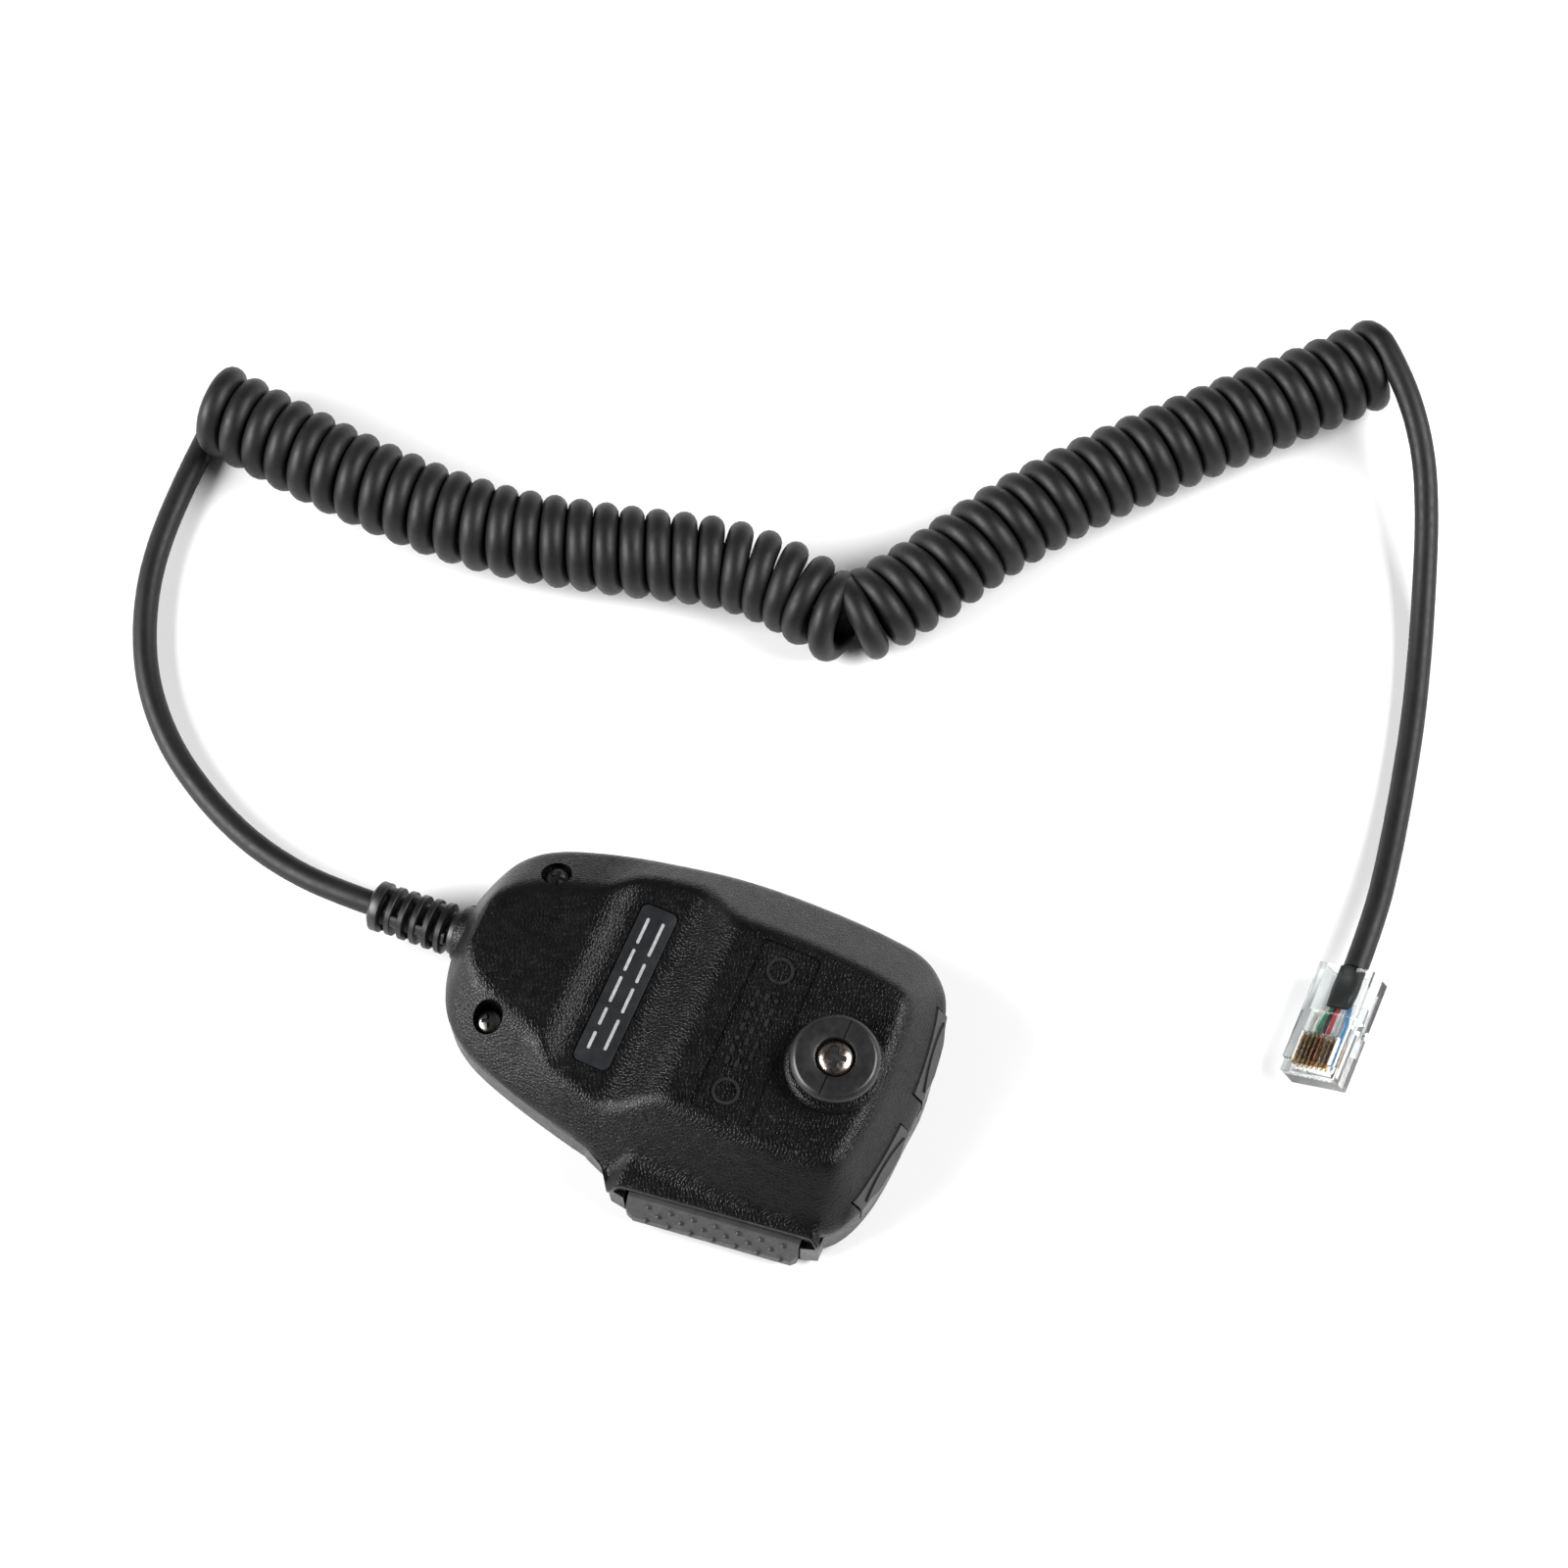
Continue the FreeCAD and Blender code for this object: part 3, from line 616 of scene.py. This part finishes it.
def moulded_look():
    """Black case plastic with a fine leather grain."""
    look = Look("case_plastic", 0.36, colour=(0.003, 0.003, 0.0033))
    look.colour(look.noise(9, 4), [(0.35, (0.0022, 0.0022, 0.0025)), (0.68, (0.0036, 0.0036, 0.004))])
    look.roughness(look.noise(2.2, 3), 0.27, 0.36)
    look.bump(look.ramp(look.cells(0.62), [(0.0, 0.0), (0.22, 1.0)]), 0.05, 0.85)
    look.bump(look.noise(0.3, 2), 0.034, 0.7)
    look.shader.inputs["Specular IOR Level"].default_value = 0.2
    return look.material


def satin_look(name, shade, rough, grain):
    """Grey to black plastic with a fine satin surface."""
    look = Look(name, rough, colour=(shade, shade, shade * 1.04))
    light = (shade * 1.2, shade * 1.2, shade * 1.25)
    look.colour(look.noise(6, 4), [(0.3, (shade * 0.8,) * 3), (0.7, light)])
    look.roughness(look.noise(1.5, 4), rough - 0.05, rough + 0.06)
    look.bump(look.noise(grain, 3), 0.012, 0.5)
    return look.material


def rubber_look():
    """Talk bar rubber."""
    look = Look("talk_rubber", 0.55, colour=(0.016, 0.016, 0.017))
    look.colour(look.noise(4, 4), [(0.3, (0.012, 0.012, 0.013)), (0.7, (0.021, 0.021, 0.022))])
    look.roughness(look.noise(0.9, 4), 0.46, 0.62)
    look.bump(look.noise(0.35, 3), 0.03, 0.6)
    return look.material


def cable_look():
    """Black cord jacket: satin, with faint drawing marks and dust."""
    look = Look("cord_jacket", 0.5, colour=(0.006, 0.006, 0.0066))
    look.colour(look.noise(7, 5), [(0.35, (0.0045, 0.0045, 0.005)), (0.75, (0.008, 0.008, 0.0086))])
    look.shader.inputs["Specular IOR Level"].default_value = 0.3
    look.roughness(look.noise(1.6, 4), 0.44, 0.56)
    look.bump(look.noise(0.7, 3), 0.02, 0.4)
    return look.material


def metal_look(name, colour, rough, wear):
    """Metal with darker stains, wear times as bright as its clean colour."""
    look = Look(name, rough, 1.0, colour)
    darker = tuple(c * wear for c in colour)
    look.colour(look.noise(1.3, 4), [(0.3, darker), (0.65, colour)])
    look.roughness(look.noise(0.8, 4), rough - 0.06, rough + 0.1)
    look.bump(look.noise(0.25, 2), 0.006, 0.5)
    return look.material


def film_look():
    """Smooth label film, dark grey."""
    look = Look("label_film", 0.3, colour=(0.012, 0.0125, 0.014))
    look.colour(look.noise(5, 4), [(0.3, (0.010, 0.0105, 0.012)), (0.7, (0.014, 0.0145, 0.016))])
    look.roughness(look.noise(2.5, 3), 0.25, 0.36)
    look.bump(look.noise(0.5, 3), 0.004, 0.4)
    return look.material


def clear_look():
    """Clear moulded plastic of the plug."""
    look = Look("clear_plastic", 0.06, colour=(0.93, 0.95, 0.95))
    look.shader.inputs["Transmission Weight"].default_value = 1.0
    look.shader.inputs["IOR"].default_value = 1.5
    look.roughness(look.noise(2.5, 3), 0.03, 0.14)
    look.bump(look.noise(1.8, 2), 0.01, 0.3)
    return look.material


def board_look():
    """Green solder mask over copper tracks."""
    look = Look("board_mask", 0.35, colour=(0.02, 0.13, 0.05))
    look.colour(look.cells(3.2), [(0.04, (0.05, 0.2, 0.08)), (0.1, (0.015, 0.1, 0.035))])
    look.roughness(look.noise(1.4, 3), 0.28, 0.42)
    look.bump(look.ramp(look.cells(3.2), [(0.04, 1.0), (0.1, 0.0)]), 0.03, 0.6)
    return look.material


def gold_look():
    """Plating of the plug's contacts."""
    look = Look("contact_gold", 0.24, 1.0, (0.95, 0.58, 0.26))
    look.colour(look.noise(0.9, 3), [(0.3, (0.75, 0.4, 0.17)), (0.65, (0.98, 0.66, 0.32))])
    look.roughness(look.noise(0.5, 3), 0.18, 0.34)
    return look.material


def marking_look():
    """Pale print on the label."""
    look = Look("pale_print", 0.45, colour=(0.5, 0.5, 0.5))
    look.colour(look.noise(0.8, 3), [(0.3, (0.20, 0.205, 0.21)), (0.7, (0.32, 0.325, 0.33))])
    look.bump(look.noise(0.3, 2), 0.005, 0.3)
    return look.material


def floor_look():
    """White paper."""
    look = Look("paper", 0.6, colour=(0.86, 0.86, 0.86))
    look.colour(look.noise(60, 3), [(0.3, (0.85, 0.85, 0.85)), (0.7, (0.88, 0.88, 0.88))])
    look.bump(look.noise(0.6, 3), 0.01, 0.2)
    return look.material


def dress(piece, material):
    """Gives a piece its only material."""
    data = piece.data
    data.materials.clear()
    data.materials.append(material)


# ------------------------------------------------------------------ pieces


def weld(mesh):
    """Joins vertices that lie together."""
    work = bmesh.new()
    work.from_mesh(mesh)
    bmesh.ops.remove_doubles(work, verts=work.verts, dist=0.000001)
    work.to_mesh(mesh)
    work.free()


def carve(piece, solids, operation="DIFFERENCE", smooth=30):
    """Takes closed shapes (verts and faces in body millimetres) out of a piece, or joins them to it."""
    verts, faces = merge(solids)
    tool = new_piece("tool", put(verts), faces, body=None)
    step = piece.modifiers.new("carve", "BOOLEAN")
    step.operation = operation
    step.solver = "EXACT"
    step.object = tool
    step.use_self = len(solids) > 1
    graph = bpy.context.evaluated_depsgraph_get()
    mesh = bpy.data.meshes.new_from_object(piece.evaluated_get(graph))
    piece.modifiers.clear()
    old = piece.data
    name = old.name
    piece.data = mesh
    bpy.data.meshes.remove(old)
    mesh.name = name
    bpy.data.objects.remove(tool)
    tidy_normals(piece, smooth)


def half_collar():
    """Flare of the case round the strain relief, above the parting level."""
    profile = [(7.3, 0.4), (6.9, 1.5), (6.3, 2.4), (5.85, 3.3), (5.6, 4.3), (5.5, 4.9), (5.35, 5.1)]
    verts, faces = lathe(profile, 64, BOOT_START, BOOT_END - BOOT_START)
    piece = new_piece("collar", put(verts), faces, body=None)
    carve(piece, [box_mesh(-12, 12, -90, -60, -10, PART_Z)])
    mesh = piece.data
    out = ([Vector(v.co) / MM - SHIFT for v in mesh.vertices], [tuple(p.vertices) for p in mesh.polygons])
    bpy.data.objects.remove(piece)
    return out


def screw_boss(x, y):
    """Post inside the back cover that holds a case screw."""
    ring = [(x + 4.2 * math.cos(a), y + 4.2 * math.sin(a)) for a in (2 * math.pi * i / 32 for i in range(32))]
    low = [(px, py, PART_Z + 0.05) for px, py in ring]
    high = [(px, py, back_height(px, py) - 1.1) for px, py in ring]
    return stack([low, high])


def hanger_pad():
    profile = [(PAD_R - 1.2, HEAD_Z - 1.6), (PAD_R, HEAD_Z - 0.6), (PAD_R, HEAD_Z + 0.15),
               (PAD_R - 0.1, HEAD_Z + 0.4), (PAD_R - 0.75, HEAD_Z + 1.0), (PAD_R - 1.0, HEAD_Z + 1.1)]
    return lathe(profile, 96, Vector((0, KNOB_Y, 0)))


def add_back_cover(looks):
    plan = case_plan(HOOD_BACK, HOOD_BACK_R)
    verts, faces = domed_solid(plan, PART_Z, outer_height, RIM_DEPTHS, GROOVE)
    cover = new_piece("back_cover", put(verts), faces, 30)
    room_plan = even([inward(p, WALL) for p in case_outline()], 1.2)
    carve(cover, [domed_solid(room_plan, PART_Z - 1, room_height, [0.0, 1.0])])
    carve(cover, [screw_boss(SCREW_X, SCREW_Y), screw_boss(-SCREW_X, SCREW_Y), hanger_pad()], "UNION")
    carve(cover, [half_collar()], "UNION")
    carve(cover, [talk_bay()] + side_key_rooms())
    holes = [boot_tube(BOOT_HOLE_R, -3, 9), round_hole(0, KNOB_Y, 15, 30, 1.7)]
    holes.append(plate_mesh(0, LABEL_Y, LABEL_W, LABEL_H, 1.5, [(0.0, VALLEY_Z - 0.55), (0.0, VALLEY_Z + 4)]))
    for x in (SCREW_X, -SCREW_X):
        holes.append(round_hole(x, SCREW_Y, SCREW_SEAT_Z, 30, SCREW_RECESS_R))
    carve(cover, holes)
    carve(cover, [panel_recess()])
    dress(cover, looks["case"])
    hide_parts("back_shell")


def cross_plan(reach):
    """Outline of a cross with arms of this length."""
    a, b = reach, reach * 0.22 + 0.05
    return [(a, -b), (a, b), (b, b), (b, a), (-b, a), (-b, b), (-a, b), (-a, -b), (-b, -b), (-b, -a),
            (b, -a), (b, -b)]


def cross_tool(x, y, z, reach, depth):
    """Slightly tapered cross recess of a screw."""
    loops = []
    for grow, at in ((0.9, z - depth), (1.0, z), (1.0, z + 1.0)):
        loops.append([(x + px, y + py, at) for px, py in cross_plan(reach * grow)])
    return stack(loops)


def painted_cross_shade(name, x, y, z, reach, turn, looks):
    """Black insert at the bottom of a screw's cross recess: painted shade where the recess would be in
    shadow.
    """
    plan = cross_plan(reach)
    spin = Matrix.Rotation(turn, 3, "Z")
    loops = [[spin @ Vector((px, py, 0)) + Vector((x, y, at)) for px, py in plan] for at in (z - 0.3, z)]
    verts, faces = stack(loops)
    floor = new_piece(name + "_cross", put(verts), faces)
    # near-black material here is painted shade for the recess
    dress(floor, looks["soot"])


def add_screw(name, x, y, top, r, height, reach, turn, looks, look):
    profile = [(r * 0.96, top - height), (r, top - height + 0.12), (r, top - height * 0.62)]
    for i in range(1, 9):
        a = math.pi / 2 * i / 8.5
        profile.append((r * math.cos(a) ** 0.85, top - height * 0.62 * (1 - math.sin(a))))
    verts, faces = lathe(profile, 56, Vector((x, y, 0)))
    head = new_piece(name, put(verts), faces, 28)
    tool_verts, tool_faces = cross_tool(0, 0, top, reach, height * 0.72)
    spin = Matrix.Rotation(turn, 3, "Z")
    middle = Vector((x, y, 0))
    carve(head, [([spin @ v + middle for v in tool_verts], tool_faces)], smooth=28)
    dress(head, looks[look])
    # black insert in the cross recess: painted shade
    painted_cross_shade(name, x, y, top - 0.42, reach * 0.98, turn, looks)
    return head


def add_knob(looks):
    """Mushroom knob with a screw well and a fine line across its face."""
    r, neck, top = KNOB_FLANGE_R, KNOB_NECK_R, KNOB_TOP_Z
    profile = [(neck, 27.1), (neck, 28.6), (neck + 0.12, 28.9), (neck + 0.5, 29.08), (r - 0.3, 29.3),
               (r - 0.08, 29.4), (r, 29.6), (r, 30.6), (r - 0.08, 30.82), (r - 0.7, 31.42),
               (r - 0.95, top - 0.03), (r - 1.2, top), (4.0, top), (3.8, top - 0.08),
               (3.72, top - 0.25), (3.7, top - 2.2)]
    verts, faces = lathe(profile, 128, Vector((0, KNOB_Y, 0)))
    knob = new_piece("hanger_button", put(verts), faces, 32)
    carve(knob, [box_mesh(-9, 9, KNOB_Y - 0.11, KNOB_Y + 0.11, top - 0.3, top + 1)], smooth=32)
    dress(knob, looks["knob"])
    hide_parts("hanger_knob")
    screw = add_screw("hanger_screw_head", 0, KNOB_Y, top - 0.1, 3.35, 2.0, 2.1, math.radians(12),
                      looks, "nickel")
    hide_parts("hanger_screw")


def add_case_screws(looks):
    for side, x, turn in (("right", SCREW_X, 24), ("left", -SCREW_X, 8)):
        head = add_screw("case_screw_" + side, x, SCREW_Y, SCREW_SEAT_Z + 1.7, 2.3, 1.7, 1.45,
                         math.radians(turn), looks, "steel")
    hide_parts("case_screws")


def add_label(looks):
    top = VALLEY_Z - 0.1
    verts, faces = plate_mesh(0, LABEL_Y, LABEL_W - 0.4, LABEL_H - 0.4, 1.35,
                              [(0.0, top - 0.45), (0.0, top - 0.12), (0.06, top - 0.03), (0.18, top)])
    label = new_piece("label_face", put(verts), faces, 30)
    dress(label, looks["label"])
    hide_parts("label_plate")
    bars = []
    for y, row in ((LABEL_Y + 1.5, [(-10.5, 7.0), (-3.4, 4.0), (2.4, 5.2), (9.6, 6.4)]),
                   (LABEL_Y - 1.5, [(-11.2, 5.4), (-5.0, 4.6), (1.2, 5.4), (6.9, 3.6), (11.9, 3.6)])):
        for x, w in row:
            bars.append(plate_mesh(x, y, w, 0.6, 0.25, [(0.0, top - 0.02), (0.0, top + 0.02)], 3))
    print_verts, print_faces = merge(bars)
    marks = new_piece("label_bars", put(print_verts), print_faces)
    dress(marks, looks["print"])


def ring_mesh(x, y, outer, inner, z0, z1, steps=40):
    """Flat ring with a square section."""
    profile = [(inner, z0), (outer, z0), (outer, z1), (inner, z1)]
    verts = []
    faces = []
    for i in range(steps):
        a = 2 * math.pi * i / steps
        for r, z in profile:
            verts.append(Vector((x + r * math.cos(a), y + r * math.sin(a), z)))
    for i in range(steps):
        j = (i + 1) % steps
        for k in range(4):
            m = (k + 1) % 4
            faces.append((4 * i + k, 4 * j + k, 4 * j + m, 4 * i + m))
    return verts, faces


def add_panel_relief(looks):
    """Neutral raised shapes on the sunk panel."""
    z0, z1 = PANEL_Z - 0.05, PANEL_Z + 0.3
    parts = [ring_mesh(x, PANEL_Y - 0.6, 2.6, 2.0, z0, z1) for x in (-12.6, 12.4)]
    for k, y in enumerate((PANEL_Y + 1.0, PANEL_Y - 0.9, PANEL_Y - 2.8)):
        for i in range(7):
            w = 1.5 if (i + k) % 3 else 0.8
            parts.append(plate_mesh(-6.9 + 2.3 * i, y, w, 0.75, 0.3, [(0.0, z0), (0.0, z1)], 3))
    verts, faces = merge(parts)
    relief = new_piece("panel_relief", put(verts), faces)
    dress(relief, looks["case_smooth"])


def add_strain_relief(looks):
    """Boot: smooth neck, five fins joined by short webs, and a larger tip ring."""
    # Each entry is (radius, height, gap): gap is 0, or the number of a gap whose webs turn in step with it.
    length = (BOOT_END - BOOT_START).length
    profile = [(5.1, 0.0, 0), (5.1, 1.0, 0), (4.6, 1.05, 0), (4.6, 5.0, 0), (4.35, 6.2, 0), (3.8, 6.6, 0),
               (3.5, 6.8, 6), (3.5, 7.4, 6)]
    for i in range(FINS):
        at = FIN_START + FIN_PITCH * i
        r = 5.0 - 0.06 * i
        profile += [(r - 0.12, at, 0), (r, at + 0.12, 0), (r, at + 1.0, 0), (r - 0.12, at + 1.12, 0),
                    (3.3, at + 1.16, i + 1), (3.2, at + 1.3, i + 1), (3.2, at + 2.45, i + 1),
                    (3.3, at + 2.56, i + 1)]
    profile += [(4.75, 20.72, 0), (4.9, 20.85, 0), (4.9, 22.4, 0), (4.75, 22.6, 0), (3.9, length - 0.15, 0),
                (3.6, length, 0), (2.5, length, 0)]
    way = boot_way().to_track_quat("Z", "Y")
    steps = 96
    loops = []
    for r, h, gap in profile:
        loop = []
        for i in range(steps):
            a = 2 * math.pi * i / steps
            radius = r
            if gap:
                off = abs((a + math.pi / 2 * (gap % 2) + math.pi / 4) % math.pi - math.pi / 2)
                radius = r + (4.55 - r) * smooth_step(0.34, 0.24, off)
            loop.append(BOOT_START + way @ Vector((radius * math.cos(a), radius * math.sin(a), h)))
        loops.append(loop)
    verts, faces = stack(loops)
    boot = new_piece("cord_boot", put(verts), faces, 38)
    dress(boot, looks["boot"])
    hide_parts("strain_relief")


def plug_point(x, y, z):
    """Plug millimetres to frame metres."""
    roll = Matrix.Rotation(math.radians(PLUG_ROLL), 3, "X")
    return (roll @ Vector((x, y, z)) + PLUG_BACK) * MM


WIRE_COLOURS = [("ivory", (0.66, 0.64, 0.58)), ("white", (0.78, 0.78, 0.77)), ("green", (0.02, 0.24, 0.1)),
                ("black", (0.012, 0.012, 0.013)), ("red", (0.55, 0.03, 0.03)), ("pale", (0.72, 0.72, 0.72)),
                ("grey", (0.55, 0.56, 0.58)), ("blue", (0.06, 0.25, 0.5))]


def add_plug_wires():
    """Eight coloured wires that fan out from the jacket to the contacts."""
    first = True
    for i, (name, colour) in enumerate(WIRE_COLOURS):
        y = (i - 3.5) * CONTACT_PITCH
        lift = 0.12 * math.sin(2.1 * i)
        route = [(7.6, y * 0.72, 0.0), (9.2, y * 0.8, 0.25 + lift), (11.5, y * 1.02 + lift, 0.62),
                 (14.0, y, 0.68 - lift * 0.6), (17.0, y, 0.65), (20.4, y, 0.65)]
        curve = nurbs("wire_line", [plug_point(*p) for p in route], 0.42 * MM)
        mesh = bpy.data.meshes.new_from_object(curve)
        bpy.data.objects.remove(curve)
        weld(mesh)
        wire = bpy.data.objects.new("plug_wire_" + name, mesh)
        bpy.context.scene.collection.objects.link(wire)
        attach(wire, "case")
        look = Look("wire_" + name, 0.35, colour=colour)
        dark = tuple(c * 0.8 for c in colour)
        look.colour(look.noise(1.5, 3), [(0.35, dark), (0.65, colour)])
        look.roughness(look.noise(0.8, 3), 0.28, 0.42)
        wire.data.materials.append(look.material)
        if first:
            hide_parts("plug_wires")
            first = False


def squared_off(value):
    """Sine or cosine bent towards a rounded square."""
    return abs(value) ** 0.8 * (1 if value > 0 else -1)


def add_plug_jacket(looks):
    """End of the jacket inside the plug, flattened where the clamp presses on it."""
    loops = []
    for x, w, h in ((-0.6, 2.35, 2.3), (0.0, 2.35, 2.3), (1.2, 2.45, 2.0), (2.4, 2.7, 1.45), (4.6, 2.75, 1.4),
                    (5.8, 2.5, 1.65), (7.4, 2.5, 1.6), (7.9, 2.35, 1.45), (8.0, 2.1, 1.2)):
        loop = []
        for i in range(36):
            a = 2 * math.pi * i / 36
            loop.append(plug_point(x, w * squared_off(math.cos(a)), h * squared_off(math.sin(a))))
        loops.append(loop)
    verts, faces = stack(loops)
    jacket = new_piece("plug_jacket", verts, faces, 40)
    dress(jacket, looks["cable"])
    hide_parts("plug_jacket_end")


def add_key_marks(looks):
    """Plain numbers, letters and bars on the keys."""
    words = {"star": "*", "hash": "#", "a": "A", "b": "B", "c": "C", "d": "D"}
    for row, names in enumerate(KEY_NAMES):
        for column, name in enumerate(names):
            x = (1.5 - column) * KEY_PITCH_X
            y = KEY_TOP_Y - row * KEY_PITCH_Y
            if name.startswith("p"):
                levels = [(0.0, KEY_FACE_Z - 0.06), (0.0, KEY_FACE_Z + 0.05)]
                verts, faces = plate_mesh(x, y, 2.6, 0.7, 0.3, levels, 3)
                mark = new_piece("mark_" + name, put(verts), faces, body="key_" + name)
            else:
                text = bpy.data.curves.new("mark_" + name, "FONT")
                text.body = words.get(name, name)
                text.align_x = "CENTER"
                text.align_y = "CENTER"
                text.size = 4.2 * MM
                text.extrude = 0.055 * MM
                text.resolution_u = 6
                holder = bpy.data.objects.new("holder", text)
                mesh = bpy.data.meshes.new_from_object(holder)
                bpy.data.objects.remove(holder)
                turn = Matrix.Rotation(math.pi, 4, "Y")
                place = Matrix.Translation((Vector((x, y, KEY_FACE_Z)) + SHIFT) * MM)
                mesh.transform(place @ turn)
                weld(mesh)
                mark = bpy.data.objects.new("mark_" + name, mesh)
                bpy.context.scene.collection.objects.link(mark)
                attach(mark, "key_" + name)
            dress(mark, looks["print"])


# ------------------------------------------------------------------ cord pieces


def add_cord(looks):
    """The whole free cord as one spline: lead, curl's turns and tail."""
    lead = [Vector(p) * MM for p in LEAD_ROUTE[:-1]]
    tail = [Vector(p) * MM for p in TAIL_ROUTE[1:]]
    turns = helix_points()
    cord = nurbs("cord", lead + turns + tail, CABLE_R * MM)
    for point in cord.data.splines[0].points[len(lead):len(lead) + len(turns)]:
        point.radius = TURN_SWELL
    cord.data.materials.append(looks["cable"])
    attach(cord, "case")
    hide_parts("cord_lead", "cord_curl", "cord_tail")


# ------------------------------------------------------------------ room and light


def add_floor(look):
    size = 3.0
    mesh = bpy.data.meshes.new("floor")
    corners = [(-size, -size, 0), (size, -size, 0), (size, size, 0), (-size, size, 0)]
    mesh.from_pydata(corners, [], [(0, 1, 2, 3)])
    floor = bpy.data.objects.new("floor", mesh)
    bpy.context.scene.collection.objects.link(floor)
    floor.location.z = -0.00015
    mesh.materials.append(look)


def add_light(name, place, size, power, aim=(0.0, 0.0, 0.0)):
    data = bpy.data.lights.new(name, "AREA")
    data.shape = "RECTANGLE"
    data.size, data.size_y = size
    data.energy = power
    light = bpy.data.objects.new(name, data)
    light.location = place
    light.rotation_euler = (Vector(aim) - Vector(place)).to_track_quat("-Z", "Y").to_euler()
    bpy.context.scene.collection.objects.link(light)


def add_lights():
    world = bpy.data.worlds.new("room")
    world.use_nodes = True
    tree = world.node_tree
    back = tree.nodes["Background"]
    back.inputs["Strength"].default_value = WORLD_STRENGTH
    place = tree.nodes.new("ShaderNodeTexCoord")
    split = tree.nodes.new("ShaderNodeSeparateXYZ")
    ramp = tree.nodes.new("ShaderNodeValToRGB")
    ramp.color_ramp.elements[0].position = 0.1
    ramp.color_ramp.elements[0].color = (1, 1, 1, 1)
    ramp.color_ramp.elements[1].position = 0.6
    ramp.color_ramp.elements[1].color = (0.04, 0.04, 0.044, 1)
    tree.links.new(place.outputs["Generated"], split.inputs["Vector"])
    tree.links.new(split.outputs["Z"], ramp.inputs["Fac"])
    tree.links.new(ramp.outputs["Color"], back.inputs["Color"])
    bpy.context.scene.world = world
    for name, place, size, power in LIGHTS:
        add_light(name, place, size, power)


def main():
    looks = {
        "case": moulded_look(),
        "case_smooth": satin_look("case_smooth", 0.009, 0.36, 0.4),
        "knob": satin_look("knob_plastic", 0.009, 0.36, 0.5),
        "nickel": metal_look("warm_nickel", (0.6, 0.52, 0.46), 0.22, 0.7),
        # painted shade: near-black material for the inserts in the screws' cross recesses
        "soot": satin_look("screw_recess_dark", 0.004, 0.5, 0.2),
        "steel": metal_look("zinc_steel", (0.36, 0.35, 0.33), 0.3, 0.6),
        "label": film_look(),
        "talk_rubber": rubber_look(),
        "switch_black": satin_look("switch_black", 0.02, 0.4, 0.6),
        "switch_white": satin_look("switch_white", 0.7, 0.42, 0.6),
        "side_keys": satin_look("side_key_plastic", 0.014, 0.36, 0.4),
        "keys": satin_look("key_rubber", 0.09, 0.6, 0.4),
        "membrane": satin_look("membrane", 0.1, 0.6, 0.5),
        "board": board_look(),
        "aluminium": metal_look("aluminium_can", (0.75, 0.75, 0.75), 0.3, 0.8),
        "cable": cable_look(),
        "boot": satin_look("boot_rubber", 0.004, 0.42, 0.25),
        "wires": satin_look("wire_grey", 0.3, 0.4, 0.6),
        "contacts": gold_look(),
        "clear": clear_look(),
        "print": marking_look(),
    }
    for part in frame["record"]["subparts"]:
        dress(frame["nodes"][part["node"]], looks[part["material_slot"]])
    add_camera()
    add_strain_relief(looks)
    add_back_cover(looks)
    add_knob(looks)
    add_case_screws(looks)
    add_label(looks)
    add_panel_relief(looks)
    add_plug_wires()
    add_plug_jacket(looks)
    add_cord(looks)
    add_key_marks(looks)
    add_floor(floor_look())
    add_lights()
    bpy.context.scene.view_settings.view_transform = "Standard"
    bpy.context.view_layer.update()


main()
